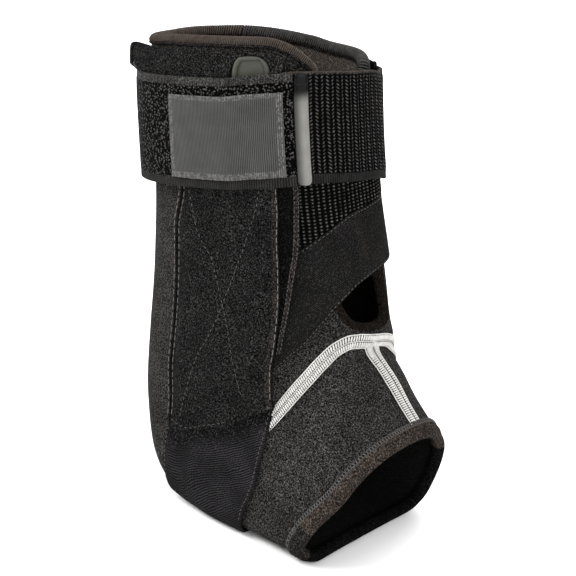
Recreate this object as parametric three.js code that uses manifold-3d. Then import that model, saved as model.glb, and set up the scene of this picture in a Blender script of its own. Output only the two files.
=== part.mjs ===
// Ankle brace: a boot-shaped sleeve that is open at the toes and down the front of the leg, with a
// stiffened panel on each side, a strap under the heel, a diagonal strap over the instep and a
// strap with a hook tab wrapped round the top.
// Millimetres, +Z up, +X towards the toes, -Y the side with the label. The origin is on the flat
// underside of the heel strap, on the middle line.
//
// Every piece follows one boot surface. A place on it is a turn and a drop: the turn goes round
// the leg in degrees (0 the back and the sole, 90 the near side, 180 the front, 270 the far side)
// and the drop goes from 0 at the collar, down round the ankle, to 1 at the toe lip.
import * as THREE from 'three';
import { mergeVertices } from 'three/addons/utils/BufferGeometryUtils.js';
import Module from 'manifold-3d';

const wasm = await Module();
wasm.setup();

// Driving sizes
const braceHeight = 226;
const footLength = 144;
const legWidth = 74;
const toeWidth = 88;
const sleeveWall = 3;

// Clearances: between edges that meet, and between a layer and what it lies on
const clearance = 0.3;
const layerGap = 0.42;

// Thicknesses of what is laid on the sleeve
const bindingWall = 0.8;
const elasticWall = 1.2;
const underPanelWall = 1.2;
const sidePanelWall = 1.5;
const stayWall = 1.6;
const heelStrapWall = 1.8;
const wrapWall = 2;
const labelWall = 0.8;
const tabWall = 2;
const seamWall = 0.8;

// Widths and lengths along the surface
const collarBindingWidth = 3.4;
const toeBindingWidth = 7;
const wrapWidth = 47;
const labelWidth = 51;
const labelHeight = 35;
const labelFromTop = 7.5;
const tabWidth = 5;
const seamWidth = 5.5;
const toeSeamWidth = 7;
const stayWidth = 18;
const stayAboveWindow = 1;
const windowWidth = 17;
const windowHeight = 16;
const windowFromRim = 5.5;
const panelFlare = 7;

// How finely the surface is divided, in degrees
const fullTurn = 360;
const turnStep = 7.5;

const colours = {
  fleece: 0x1d1c1c,
  lining: 0x2a2624,
  knit: 0x161616,
  binding: 0x3a322d,
  satin: 0x4a4a4b,
  seam: 0xd9d7d2,
  plastic: 0x8f8e88,
  stay: 0x3c3d36,
};

// Heights above the sleeve at which each layer starts
const above = (height, wall) => height + wall + layerGap;
const onSleeve = layerGap;
const onBinding = above(onSleeve, bindingWall);
const onStay = above(onSleeve, stayWall);
const onElastic = above(onSleeve, elasticWall);
const onUnderPanel = above(onElastic, underPanelWall);
const onPocket = above(onStay, sidePanelWall);
const onPanelEdge = above(onUnderPanel, sidePanelWall);
const wrapAtFront = Math.max(above(onBinding, elasticWall), onUnderPanel);
const onWrapEnd = above(wrapAtFront, wrapWall);

const clamp = (value, low, high) => Math.min(Math.max(value, low), high);
const mix = (from, to, share) => from + (to - from) * share;
const smooth = (from, to, value) => THREE.MathUtils.smoothstep(value, from, to);

// Sections of the boot from the collar to the toe lip. backX and frontX are shares of footLength,
// backZ and frontZ shares of braceHeight, widen the share of the way from legWidth to toeWidth,
// belly where the section is widest, backRound and frontRound how square its two halves are, and
// tuck how far the lower near side is folded back, as a share of footLength.
const sections = [
  //  backX   backZ  frontX frontZ widen belly backRound frontRound tuck
  [-0.468, 0.904, 0.180, 0.994, 0.00, 0.50, 2.4, 2.4, 0.00],
  [-0.450, 0.779, 0.212, 0.868, 0.05, 0.50, 2.4, 2.4, 0.00],
  [-0.408, 0.615, 0.268, 0.699, 0.00, 0.50, 2.4, 2.4, 0.00],
  [-0.392, 0.456, 0.333, 0.566, 0.00, 0.50, 2.4, 2.4, 0.00],
  [-0.375, 0.301, 0.378, 0.482, 0.14, 0.48, 2.4, 2.4, 0.00],
  [-0.342, 0.142, 0.408, 0.444, 0.21, 0.42, 2.5, 2.3, 0.00],
  [-0.222, 0.020, 0.420, 0.420, 0.36, 0.34, 3.2, 2.3, 0.00],
  [-0.006, -0.004, 0.416, 0.390, 0.57, 0.28, 4.2, 2.2, 0.00],
  [0.188, -0.006, 0.455, 0.346, 0.64, 0.26, 4.2, 2.3, 0.005],
  [0.338, -0.006, 0.505, 0.292, 0.79, 0.28, 4.0, 2.3, 0.022],
  [0.450, -0.006, 0.574, 0.240, 1.00, 0.32, 3.6, 2.3, 0.045],
];

// Where the lower near side is folded back, in degrees
const tuckFrom = 35;
const tuckSpan = 90;

// The sole is flat: it stands on the heel strap, and on the toe binding ahead of it.
const heelStrapFront = 0.805;
const toeBindingBack = 0.9;
function soleHeight(drop) {
  const onHeelStrap = heelStrapWall + layerGap;
  const onToeBinding = bindingWall + layerGap;
  return mix(onHeelStrap, onToeBinding, smooth(heelStrapFront, toeBindingBack, drop));
}

// Lays what reaches below the sole flat on it, with a soft bend where it leaves it.
const soleBend = 2;
function laidFlat(height, sole) {
  const over = height - sole;
  if (over > soleBend) return height;
  return sole + Math.max(over + soleBend, 0) ** 2 / (4 * soleBend);
}

function sectionAt(drop) {
  const last = sections.length - 1;
  const place = clamp(drop, 0, 1) * last;
  const row = Math.min(Math.floor(place), last - 1);
  const t = place - row;
  const at = (index) => sections[clamp(index, 0, last)];
  return at(row).map((value, column) => {
    const before = at(row - 1)[column];
    const next = at(row + 1)[column];
    const after = at(row + 2)[column];
    return 0.5 * (2 * value + (next - before) * t
      + (2 * before - 5 * value + 4 * next - after) * t ** 2
      + (3 * value - before - 3 * next + after) * t ** 3);
  });
}

function surface(turn, drop) {
  const [backX, backZ, frontX, frontZ, widen, belly, backRound, frontRound, tuck] = sectionAt(drop);
  const angle = THREE.MathUtils.degToRad(turn);
  const cos = Math.cos(angle);
  const sin = Math.sin(angle);
  const square = cos > 0 ? backRound : frontRound;
  const along = Math.abs(cos) ** (2 / square);
  const side = Math.abs(sin) ** (2 / square);
  const share = cos > 0 ? belly * (1 - along) : belly + (1 - belly) * along;
  const turned = THREE.MathUtils.euclideanModulo(turn, fullTurn);
  const fold = Math.sin(Math.PI * clamp((turned - tuckFrom) / tuckSpan, 0, 1)) ** 2;
  return new THREE.Vector3(
    footLength * (mix(backX, frontX, share) - tuck * fold),
    -0.5 * mix(legWidth, toeWidth, widen) * side * Math.sign(sin),
    laidFlat(braceHeight * mix(backZ, frontZ, share), soleHeight(drop)),
  );
}

const turnNudge = 0.2;
const dropNudge = 0.001;
function acrossTurn(turn, drop) {
  return surface(turn + turnNudge, drop).sub(surface(turn - turnNudge, drop))
    .divideScalar(2 * turnNudge);
}

function acrossDrop(turn, drop) {
  const low = clamp(drop - dropNudge, 0, 1);
  const high = clamp(drop + dropNudge, 0, 1);
  return surface(turn, high).sub(surface(turn, low)).divideScalar(high - low);
}

function normal(turn, drop) {
  return acrossDrop(turn, drop).cross(acrossTurn(turn, drop)).normalize();
}

function lifted(turn, drop, height) {
  return surface(turn, drop).addScaledVector(normal(turn, drop), height);
}

// The drop that lies a length further down, and the turn that lies a length further round
function dropBy(turn, drop, length) {
  const steps = 6;
  let reached = drop;
  for (let step = 0; step < steps; step++) {
    reached += length / steps / acrossDrop(turn, reached).length();
  }
  return reached;
}

function turnBy(turn, drop, length) {
  const steps = 6;
  let reached = turn;
  for (let step = 0; step < steps; step++) {
    reached += length / steps / acrossTurn(reached, drop).length();
  }
  return reached;
}

// The place that lies a length further on in any direction along the surface
function slide(turn, drop, direction, length) {
  const steps = 4;
  let [toTurn, toDrop] = [turn, drop];
  for (let step = 0; step < steps; step++) {
    const a = acrossTurn(toTurn, toDrop);
    const b = acrossDrop(toTurn, toDrop);
    const both = a.dot(b);
    const scale = length / steps / (a.lengthSq() * b.lengthSq() - both ** 2);
    toTurn += scale * (a.dot(direction) * b.lengthSq() - b.dot(direction) * both);
    toDrop += scale * (b.dot(direction) * a.lengthSq() - a.dot(direction) * both);
  }
  return [toTurn, toDrop];
}

// Reads a column of a table of rows, each starting with the place that it holds for.
function read(table, place, column = 1) {
  const last = table.length - 1;
  if (place <= table[0][0]) return table[0][column];
  if (place >= table[last][0]) return table[last][column];
  const row = table.findIndex((entry) => entry[0] >= place);
  const [from, to] = [table[row - 1], table[row]];
  return mix(from[column], to[column], (place - from[0]) / (to[0] - from[0]));
}

// A closed body from a grid of outer and inner points. Where ends meet from a row on, or all the
// way when the grid is a ring, the walls between them are left out.
function closedBody(outer, inner, { ring = false, joinedFrom = Infinity } = {}) {
  const columns = outer.length - 1;
  const rows = outer[0].length - 1;
  const points = [...outer.flat(), ...inner.flat()];
  const half = points.length / 2;
  const out = (column, row) => column * (rows + 1) + row;
  const into = (column, row) => half + out(column, row);
  const faces = [];
  const quad = (a, b, c, d) => faces.push(a, b, c, a, c, d);
  for (let column = 0; column < columns; column++) {
    for (let row = 0; row < rows; row++) {
      quad(out(column, row), out(column, row + 1), out(column + 1, row + 1), out(column + 1, row));
      quad(into(column, row), into(column + 1, row), into(column + 1, row + 1), into(column, row + 1));
    }
    quad(out(column, 0), out(column + 1, 0), into(column + 1, 0), into(column, 0));
    quad(out(column, rows), into(column, rows), into(column + 1, rows), out(column + 1, rows));
  }
  for (let row = 0; !ring && row < Math.min(rows, joinedFrom); row++) {
    quad(out(0, row), into(0, row), into(0, row + 1), out(0, row + 1));
    quad(out(columns, row), out(columns, row + 1), into(columns, row + 1), into(columns, row));
  }
  return facingOut(points, faces);
}

const weld = 1e-3;
function facingOut(points, faces) {
  const geometry = new THREE.BufferGeometry();
  geometry.setAttribute('position', new THREE.Float32BufferAttribute(
    points.flatMap((point) => point.toArray()), 3));
  const volume = new THREE.Vector3();
  let total = 0;
  for (let face = 0; face < faces.length; face += 3) {
    const [a, b, c] = faces.slice(face, face + 3).map((index) => points[index]);
    total += volume.copy(a).cross(b).dot(c);
  }
  geometry.setIndex(total > 0 ? faces : faces.reverse());
  return mergeVertices(geometry, weld);
}

// A layer of cloth on the surface. place(u, w) gives its turn and drop, and under(turn, drop, u, w)
// the height of its underside above the sleeve.
function layer({ columns, rows, place, under, wall, ring, joinedFrom }) {
  const sheet = (extra) => Array.from({ length: columns + 1 }, (_, column) => (
    Array.from({ length: rows + 1 }, (_unused, row) => {
      const u = column / columns;
      const w = row / rows;
      const [turn, drop] = place(u, w);
      return lifted(turn, drop, under(turn, drop, u, w) + extra);
    })
  ));
  return closedBody(sheet(wall), sheet(0), { ring, joinedFrom });
}

const mirrored = (turn) => fullTurn - turn;

// The collar's rim, higher at the near side and falling away in a curve to the open front
const rim = [
  //turn drop
  [0, 0.024],
  [50, 0.012],
  [75, 0.002],
  [95, 0.001],
  [115, 0.002],
  [126, 0.007],
  [139, 0.025],
  [150, 0.046],
  [156, 0.058],
  [183, 0.080],
  [216, 0.068],
  [227, 0.062],
  [258, 0.056],
  [273, 0.046],
  [291, 0.038],
  [317, 0.031],
  [336, 0.027],
  [360, 0.024],
];
const rimDrop = (turn) => read(rim, THREE.MathUtils.euclideanModulo(turn, fullTurn));

// The opening down the front of the leg, which ends in a round hole above the instep
const opening = [
  //drop near far
  [0.056, 154, 217],
  [0.10, 155, 211],
  [0.20, 157, 199],
  [0.30, 157, 192],
  [0.36, 156.5, 191],
  [0.40, 160, 190.5],
  [0.43, 163.5, 189.5],
  [0.455, 169, 187],
  [0.468, 173, 184],
  [0.475, 178, 178],
];
const openingBottom = 0.475;
const openingMiddle = 178;

// The seam between the leg and the foot, from the sole to the throat
const seamLine = [
  //turn drop
  [0, 0.69],
  [114, 0.672],
  [123, 0.656],
  [135, 0.610],
  [144, 0.563],
  [151, 0.531],
  [158, 0.522],
  [165, 0.540],
  [173, 0.578],
  [180, 0.604],
  [190, 0.635],
  [200, 0.665],
  [215, 0.690],
  [245, 0.690],
  [360, 0.690],
];
const seamDrop = (turn) => read(seamLine, THREE.MathUtils.euclideanModulo(turn, fullTurn));

// Rows of the leg's grid down to the bottom of the hole, closer together towards it, and below it
const legRowsAbove = 10;
const legRowsBelow = 4;
const crowding = 1.6;
const legSpan = 330;
const legColumns = Math.round(legSpan / turnStep);
function legPlace(u, w) {
  const row = Math.round(w * (legRowsAbove + legRowsBelow));
  const down = 1 - (1 - Math.min(row / legRowsAbove, 1)) ** crowding;
  const atFront = mix(rimDrop(openingMiddle), openingBottom, down);
  const turn = mix(read(opening, atFront, 2), fullTurn + read(opening, atFront), u);
  if (row <= legRowsAbove) return [turn, mix(rimDrop(turn), openingBottom, down)];
  const lowest = dropBy(turn, seamDrop(turn), -clearance / 2);
  return [turn, mix(openingBottom, lowest, (row - legRowsAbove) / legRowsBelow)];
}

function legSleeve() {
  return layer({
    columns: legColumns,
    rows: legRowsAbove + legRowsBelow,
    place: legPlace,
    under: () => -sleeveWall,
    wall: sleeveWall,
    joinedFrom: legRowsAbove,
  });
}

function footSleeve() {
  return layer({
    columns: legColumns,
    rows: 8,
    place: (u, w) => {
      const turn = openingMiddle + fullTurn * u;
      return [turn, mix(dropBy(turn, seamDrop(turn), clearance / 2), 1, w)];
    },
    under: () => -sleeveWall,
    wall: sleeveWall,
    ring: true,
  });
}

// A binding folded over an edge: the path runs along the edge, with the cloth on its right as seen
// from outside, and the section is a channel that hugs the wall.
function binding(path, width) {
  const over = layerGap + bindingWall;
  const edgeGap = 2 * clearance;
  const channel = [
    //outward beyond the edge
    [layerGap, -width],
    [over, -width],
    [over, edgeGap + bindingWall],
    [-sleeveWall - over, edgeGap + bindingWall],
    [-sleeveWall - over, -width],
    [-sleeveWall - layerGap, -width],
    [-sleeveWall - layerGap, edgeGap],
    [layerGap, edgeGap],
  ];
  const rings = path.map(([turn, drop], index) => {
    const before = surface(...path[(index + path.length - 1) % path.length]);
    const after = surface(...path[(index + 1) % path.length]);
    const outward = normal(turn, drop);
    const beyond = outward.clone().cross(after.sub(before)).normalize();
    const back = slide(turn, drop, beyond, -width);
    return channel.map(([height, past]) => (past < 0
      ? lifted(...back, height)
      : lifted(turn, drop, height).addScaledVector(beyond, past)));
  });
  const points = rings.flat();
  const sides = channel.length;
  const faces = [];
  rings.forEach((_, ring) => {
    const next = (ring + 1) % rings.length;
    channel.forEach((_side, side) => {
      const a = ring * sides + side;
      const b = ring * sides + (side + 1) % sides;
      const c = next * sides + (side + 1) % sides;
      const d = next * sides + side;
      faces.push(a, b, c, a, c, d);
    });
  });
  return facingOut(points, faces);
}

function collarBinding() {
  const rows = legRowsAbove + legRowsBelow;
  const path = [];
  for (let column = 0; column <= legColumns; column++) path.push(legPlace(column / legColumns, 0));
  for (let row = 1; row <= legRowsAbove; row++) path.push(legPlace(1, row / rows));
  for (let row = legRowsAbove - 1; row > 0; row--) path.push(legPlace(0, row / rows));
  return binding(path.map(([turn, drop]) => [turn % fullTurn, drop]), collarBindingWidth);
}

function toeBinding() {
  const step = fullTurn / legColumns;
  const path = Array.from({ length: legColumns }, (_, index) => [openingMiddle - step * index, 1]);
  return binding(path, toeBindingWidth);
}

// The side panel: its edges, and how high its underside stands above the sleeve across its width
const panelOutline = [
  //drop back front
  [0.020, 43, 133],
  [0.030, 38, 134],
  [0.045, 36, 131],
  [0.056, 38, 126],
  [0.075, 44, 126],
  [0.110, 55, 127],
  [0.150, 65, 127],
  [0.200, 75, 127],
  [0.250, 71, 125],
  [0.350, 71, 123],
  [0.430, 71, 121.5],
  [0.520, 74.5, 121],
  [0.630, 74, 121],
];
const panelTop = 0.02;
const panelBottom = [0.545, 0.640];
const panelRise = [
  //across upper lower
  [0.00, onSleeve, onSleeve],
  [0.05, onSleeve, onSleeve],
  [0.20, onStay, onSleeve],
  [0.68, onStay, onSleeve],
  [0.80, onUnderPanel, onElastic],
  [1.00, onUnderPanel, onElastic],
];
const panelRows = 16;
const panelColumns = 10;

// The part of the panel that stands off above the wrap, at its back edge: shares across and down
const flareAcross = 0.24;
const flareEnd = 0.072;
const flareSpan = 0.03;

// Where the panel comes down off the stay
const ankle = [0.5, 0.57];

function panelPlace(u, w, side) {
  const mirrorTurn = side === 'far' ? mirrored : (turn) => turn;
  const guess = mix(panelTop, mix(...panelBottom, u), w);
  const turn = mix(read(panelOutline, guess), read(panelOutline, guess, 2), u);
  const top = dropBy(turn, rimDrop(mirrorTurn(turn)), collarBindingWidth + 2 * clearance);
  return [mirrorTurn(turn), mix(top, mix(...panelBottom, u), w)];
}

function sidePanel(side) {
  const whole = layer({
    columns: panelColumns,
    rows: panelRows,
    place: (u, w) => panelPlace(u, w, side),
    under: (turn, drop, u) => {
      const flare = panelFlare * clamp(1 - u / flareAcross, 0, 1)
        * clamp((flareEnd - drop) / flareSpan, 0, 1);
      const lower = smooth(...ankle, drop);
      return flare + mix(read(panelRise, u), read(panelRise, u, 2), lower);
    },
    wall: sidePanelWall,
  });
  return cutAway(whole, stayWindow(side));
}

// The arched window near the top of the panel, through which the end of the stay shows
function stayWindow(side) {
  const mirrorTurn = side === 'far' ? mirrored : (turn) => turn;
  const middle = windowTurn;
  const top = dropBy(middle, rimDrop(mirrorTurn(middle)), windowFromRim);
  const through = onPanelEdge + sidePanelWall;
  return layer({
    columns: 8,
    rows: 6,
    place: (u, w) => {
      const arch = Math.sqrt(1 - (1 - Math.min(2 * w, 1)) ** 2);
      const width = windowWidth * Math.max(arch, archFloor) * (u - 0.5);
      return [mirrorTurn(turnBy(middle, top, width)), dropBy(middle, top, windowHeight * w)];
    },
    under: () => onSleeve,
    wall: through,
  });
}

function solid(geometry) {
  return new wasm.Manifold(new wasm.Mesh({
    numProp: 3,
    vertProperties: geometry.attributes.position.array,
    triVerts: Uint32Array.from(geometry.index.array),
  }));
}

function cutAway(body, tool) {
  const left = solid(body).subtract(solid(tool)).getMesh();
  const geometry = new THREE.BufferGeometry();
  geometry.setAttribute('position', new THREE.BufferAttribute(left.vertProperties, 3));
  geometry.setIndex(new THREE.BufferAttribute(left.triVerts, 1));
  return geometry;
}

// The stay stands upright in the panel, with rounded ends.
const windowTurn = 115.5;
const archFloor = 0.3;
const stayLine = [
  //drop turn
  [0.03, 118],
  [0.12, 106],
  [0.20, 101],
  [0.35, 97],
  [0.48, 98],
];
const stayBottom = 0.48;
const stayMiddle = 0.2;

function stay(side) {
  const mirrorTurn = side === 'far' ? mirrored : (turn) => turn;
  const middle = windowTurn;
  const top = dropBy(middle, rimDrop(mirrorTurn(middle)), windowFromRim - stayAboveWindow);
  const length = acrossDrop(read(stayLine, stayMiddle), stayMiddle).length() * (stayBottom - top);
  return layer({
    columns: 4,
    rows: 12,
    place: (u, w) => {
      const drop = mix(top, stayBottom, w);
      const fromEnd = clamp(Math.min(w, 1 - w) * length / (0.5 * stayWidth), 0, 1);
      const arch = Math.max(Math.sqrt(1 - (1 - fromEnd) ** 2), archFloor);
      return [mirrorTurn(turnBy(read(stayLine, drop), drop, stayWidth * arch * (u - 0.5))), drop];
    },
    under: () => onSleeve,
    wall: stayWall,
  });
}

// The bound edge that shows ahead of each side panel, over the elastic and the diagonal strap
const underPanelFront = [
  //drop turn
  [0.12, 139],
  [0.19, 139],
  [0.24, 137],
  [0.27, 135],
  [0.30, 132],
  [0.36, 128],
  [0.42, 125],
  [0.47, 124],
];
const underPanelEnds = [0.12, 0.47];
const underPanelBack = [121, 116];
function underPanel(side) {
  const mirrorTurn = side === 'far' ? mirrored : (turn) => turn;
  return layer({
    columns: 3,
    rows: 10,
    place: (u, w) => {
      const drop = mix(...underPanelEnds, w);
      return [mirrorTurn(mix(mix(...underPanelBack, w), read(underPanelFront, drop), u)), drop];
    },
    under: () => onElastic,
    wall: underPanelWall,
  });
}

// The strap under the heel, from the foot of one side panel to the foot of the other
const heelStrap = [
  //share backTurn backDrop frontTurn frontDrop
  [0.00, read(panelOutline, panelBottom[0]), panelBottom[0],
    read(panelOutline, panelBottom[1], 2), panelBottom[1]],
  [0.12, 71, 0.567, 115, 0.692],
  [0.24, 66, 0.597, 107.5, 0.727],
  [0.38, 57, 0.620, 98, 0.760],
  [0.54, 45, 0.636, 85, 0.783],
  [0.74, 25, 0.648, 53, 0.795],
  [1.00, 0, 0.652, 0, 0.798],
];
const panelFootGap = 1.2;
function heelStrapBody() {
  return layer({
    columns: 28,
    rows: 5,
    place: (u, w) => {
      const share = 1 - Math.abs(1 - 2 * u);
      const turn = mix(read(heelStrap, share), read(heelStrap, share, 3), w);
      const drop = mix(read(heelStrap, share, 2), read(heelStrap, share, 4), w);
      const apart = share === 0 ? dropBy(turn, drop, panelFootGap) : drop;
      return [u > 0.5 ? mirrored(turn) : turn, apart];
    },
    under: () => onSleeve,
    wall: heelStrapWall,
  });
}

// The diagonal strap and the ribbed elastic above it lie over the opening and its binding.
const diagonal = [
  //turn upper lower
  [118, 0.292, 0.530],
  [125, 0.282, 0.505],
  [134, 0.268, 0.470],
  [139, 0.262, 0.442],
  [145, 0.254, 0.410],
  [157, 0.241, 0.365],
  [172, 0.228, 0.335],
  [191, 0.222, 0.320],
  [242, 0.214, 0.310],
];
const elasticTop = 0.15;
const frontRise = [
  //turn height
  [138, onSleeve],
  [145, onBinding],
  [214, onBinding],
  [221, onSleeve],
];
const frontStart = 118;
const frontEnd = mirrored(frontStart);

function diagonalStrap() {
  return layer({
    columns: 20,
    rows: 5,
    place: (u, w) => {
      const turn = mix(frontStart, frontEnd, u);
      return [turn, mix(read(diagonal, turn), read(diagonal, turn, 2), w)];
    },
    under: (turn) => read(frontRise, turn),
    wall: elasticWall,
  });
}

function frontElastic() {
  return layer({
    columns: 20,
    rows: 3,
    place: (u, w) => {
      const turn = mix(frontStart, frontEnd, u);
      return [turn, mix(elasticTop, dropBy(turn, read(diagonal, turn), -clearance), w)];
    },
    under: (turn) => read(frontRise, turn),
    wall: elasticWall,
  });
}

// The strap round the top. It starts on the near side's front, goes round the front, the far side
// and the back, and its second lap ends over its start.
const wrapTop = [
  //turn drop
  [0, 0.070],
  [50, 0.065],
  [75, 0.062],
  [100, 0.060],
  [117, 0.055],
  [139, 0.053],
  [151, 0.055],
  [191, 0.070],
  [215, 0.080],
  [258, 0.080],
  [315, 0.075],
  [360, 0.070],
];
const wrapStart = 130;
const wrapEndTurn = 138;
const wrapEnd = fullTurn + wrapEndTurn;
const wrapRise = [
  //turn height
  [130, wrapAtFront],
  [218, wrapAtFront],
  [225, onPanelEdge],
  [256, onPanelEdge],
  [270, onPocket],
  [310, onPocket],
  [360, onElastic],
  [400, onPocket],
  [455, onPocket],
  [468, onPanelEdge],
  [475, onPanelEdge],
  [482, onWrapEnd],
  [510, onWrapEnd],
];
const wrapTopDrop = (turn) => read(wrapTop, THREE.MathUtils.euclideanModulo(turn, fullTurn));

// The drop at which lengths along the wrap are laid off
const wrapMiddle = 0.12;

function wrapStrap() {
  return layer({
    columns: Math.round((wrapEnd - wrapStart) / turnStep),
    rows: 3,
    place: (u, w) => {
      const turn = mix(wrapStart, wrapEnd, u);
      return [turn, dropBy(turn, wrapTopDrop(turn), wrapWidth * w)];
    },
    under: (turn) => read(wrapRise, turn),
    wall: wrapWall,
  });
}

const labelTurn = 77;
const labelStart = fullTurn + labelTurn;
function strapLabel() {
  return layer({
    columns: 14,
    rows: 3,
    place: (u, w) => {
      const turn = turnBy(labelStart, wrapMiddle, labelWidth * u);
      return [turn, dropBy(turn, wrapTopDrop(turn), labelFromTop + labelHeight * w)];
    },
    under: (turn) => above(read(wrapRise, turn), wrapWall),
    wall: labelWall,
  });
}

// The moulded tab on the end of the strap, as long as the strap is wide
function strapTab() {
  const rounding = 0.4;
  return layer({
    columns: 2,
    rows: 12,
    place: (u, w) => {
      const fromEnd = clamp(Math.min(w, 1 - w) * wrapWidth / (0.5 * tabWidth), 0, 1);
      const arch = mix(rounding, 1, Math.sqrt(1 - (1 - fromEnd) ** 2));
      const middle = turnBy(wrapEnd, wrapMiddle, 0.5 * tabWidth + clearance);
      const turn = turnBy(middle, wrapMiddle, tabWidth * arch * (u - 0.5));
      return [turn, dropBy(turn, wrapTopDrop(turn), wrapWidth * w)];
    },
    under: () => above(onWrapEnd, wrapWall),
    wall: tabWall,
  });
}

// The flat raised seams: one across the instep, from heel strap to heel strap, and one down to
// the toe binding
const seamEnds = [122, 119];
function instepSeam() {
  return layer({
    columns: 26,
    rows: 2,
    place: (u, w) => {
      const end = mix(...seamEnds, w);
      const turn = mix(end, mirrored(end), u);
      return [turn, dropBy(turn, seamDrop(turn), seamWidth * (w - 0.5))];
    },
    under: () => onSleeve,
    wall: seamWall,
  });
}

const toeSeamTurns = [172, 190.5];
const toeSeamGap = 1.2;
function toeSeam() {
  const [highTurn, lowTurn] = toeSeamTurns;
  const bottom = dropBy(lowTurn, 1, -toeBindingWidth - 2 * clearance);
  return layer({
    columns: 2,
    rows: 7,
    place: (u, w) => {
      const across = toeSeamWidth * (u - 0.5);
      const start = turnBy(highTurn, seamDrop(highTurn), across);
      const top = dropBy(start, seamDrop(start), 0.5 * seamWidth + toeSeamGap);
      const drop = mix(top, bottom, w);
      return [turnBy(mix(highTurn, lowTurn, w), drop, across), drop];
    },
    under: () => onSleeve,
    wall: seamWall,
  });
}

function cloth(colour) {
  return new THREE.MeshStandardMaterial({ color: colours[colour], roughness: 0.95, metalness: 0 });
}

function moulded(colour) {
  return new THREE.MeshStandardMaterial({ color: colours[colour], roughness: 0.4, metalness: 0 });
}

const group = new THREE.Group();
function add(name, geometry, material) {
  geometry.computeVertexNormals();
  const mesh = new THREE.Mesh(geometry, material);
  mesh.name = name;
  group.add(mesh);
}

add('leg_sleeve', legSleeve(), cloth('fleece'));
add('foot_sleeve', footSleeve(), cloth('fleece'));
add('collar_binding', collarBinding(), cloth('binding'));
add('toe_binding', toeBinding(), cloth('binding'));
for (const side of ['near', 'far']) {
  add(`side_panel_${side}`, sidePanel(side), cloth('fleece'));
  add(`stay_${side}`, stay(side), moulded('stay'));
  add(`under_panel_${side}`, underPanel(side), cloth('lining'));
}
add('heel_strap', heelStrapBody(), cloth('knit'));
add('diagonal_strap', diagonalStrap(), cloth('fleece'));
add('front_elastic', frontElastic(), cloth('knit'));
add('wrap_strap', wrapStrap(), cloth('knit'));
add('strap_label', strapLabel(), cloth('satin'));
add('strap_tab', strapTab(), moulded('plastic'));
add('instep_seam', instepSeam(), cloth('seam'));
add('toe_seam', toeSeam(), cloth('seam'));

export default group;
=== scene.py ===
import math

import bmesh
import bpy
import numpy as np
from mathutils import Matrix, Vector


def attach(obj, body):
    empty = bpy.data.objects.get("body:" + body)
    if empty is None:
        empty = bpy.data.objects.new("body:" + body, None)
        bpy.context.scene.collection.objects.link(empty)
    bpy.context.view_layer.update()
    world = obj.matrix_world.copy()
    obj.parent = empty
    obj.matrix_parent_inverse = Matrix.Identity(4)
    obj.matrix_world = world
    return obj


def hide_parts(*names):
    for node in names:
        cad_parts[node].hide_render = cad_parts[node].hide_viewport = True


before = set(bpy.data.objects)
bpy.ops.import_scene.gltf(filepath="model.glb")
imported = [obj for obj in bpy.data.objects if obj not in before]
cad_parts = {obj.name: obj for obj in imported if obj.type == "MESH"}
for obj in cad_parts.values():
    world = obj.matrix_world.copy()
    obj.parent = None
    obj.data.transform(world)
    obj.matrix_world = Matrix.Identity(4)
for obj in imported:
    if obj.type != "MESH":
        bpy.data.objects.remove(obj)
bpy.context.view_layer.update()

MM = 0.001
BODY = "root"
UV_NAME = "cloth_mm"

# Driving sizes of the solids
BRACE_HEIGHT = 226
FOOT_LENGTH = 144
LEG_WIDTH = 74
TOE_WIDTH = 88
SLEEVE_WALL = 3
LAYER_GAP = 0.42
CLEARANCE = 0.3
BINDING_WALL = 0.8
ELASTIC_WALL = 1.2
UNDER_PANEL_WALL = 1.2
PANEL_WALL = 1.5
STAY_WALL = 1.6
HEEL_STRAP_WALL = 1.8
WRAP_WALL = 2
LABEL_WALL = 0.8
TAB_WALL = 2
COLLAR_BINDING_WIDTH = 3.4
WRAP_WIDTH = 47
LABEL_WIDTH = 51
LABEL_HEIGHT = 35
LABEL_FROM_TOP = 7.5
TAB_WIDTH = 5
SEAM_WIDTH = 5.5
TOE_SEAM_WIDTH = 7
STAY_WIDTH = 18
STAY_ABOVE_WINDOW = 0.2
WINDOW_WIDTH = 17
WINDOW_HEIGHT = 16
WINDOW_FROM_RIM = 4.7
PANEL_FLARE = 7

# Heights above the sleeve at which each layer starts
ON_SLEEVE = LAYER_GAP
ON_BINDING = ON_SLEEVE + BINDING_WALL + LAYER_GAP
ON_STAY = ON_SLEEVE + STAY_WALL + LAYER_GAP
ON_ELASTIC = ON_SLEEVE + ELASTIC_WALL + LAYER_GAP
ON_UNDER_PANEL = ON_ELASTIC + UNDER_PANEL_WALL + LAYER_GAP
ON_POCKET = ON_STAY + PANEL_WALL + LAYER_GAP
ON_PANEL_EDGE = ON_UNDER_PANEL + PANEL_WALL + LAYER_GAP
WRAP_AT_FRONT = max(ON_BINDING + ELASTIC_WALL + LAYER_GAP, ON_UNDER_PANEL)
ON_WRAP_END = WRAP_AT_FRONT + WRAP_WALL + LAYER_GAP

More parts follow.
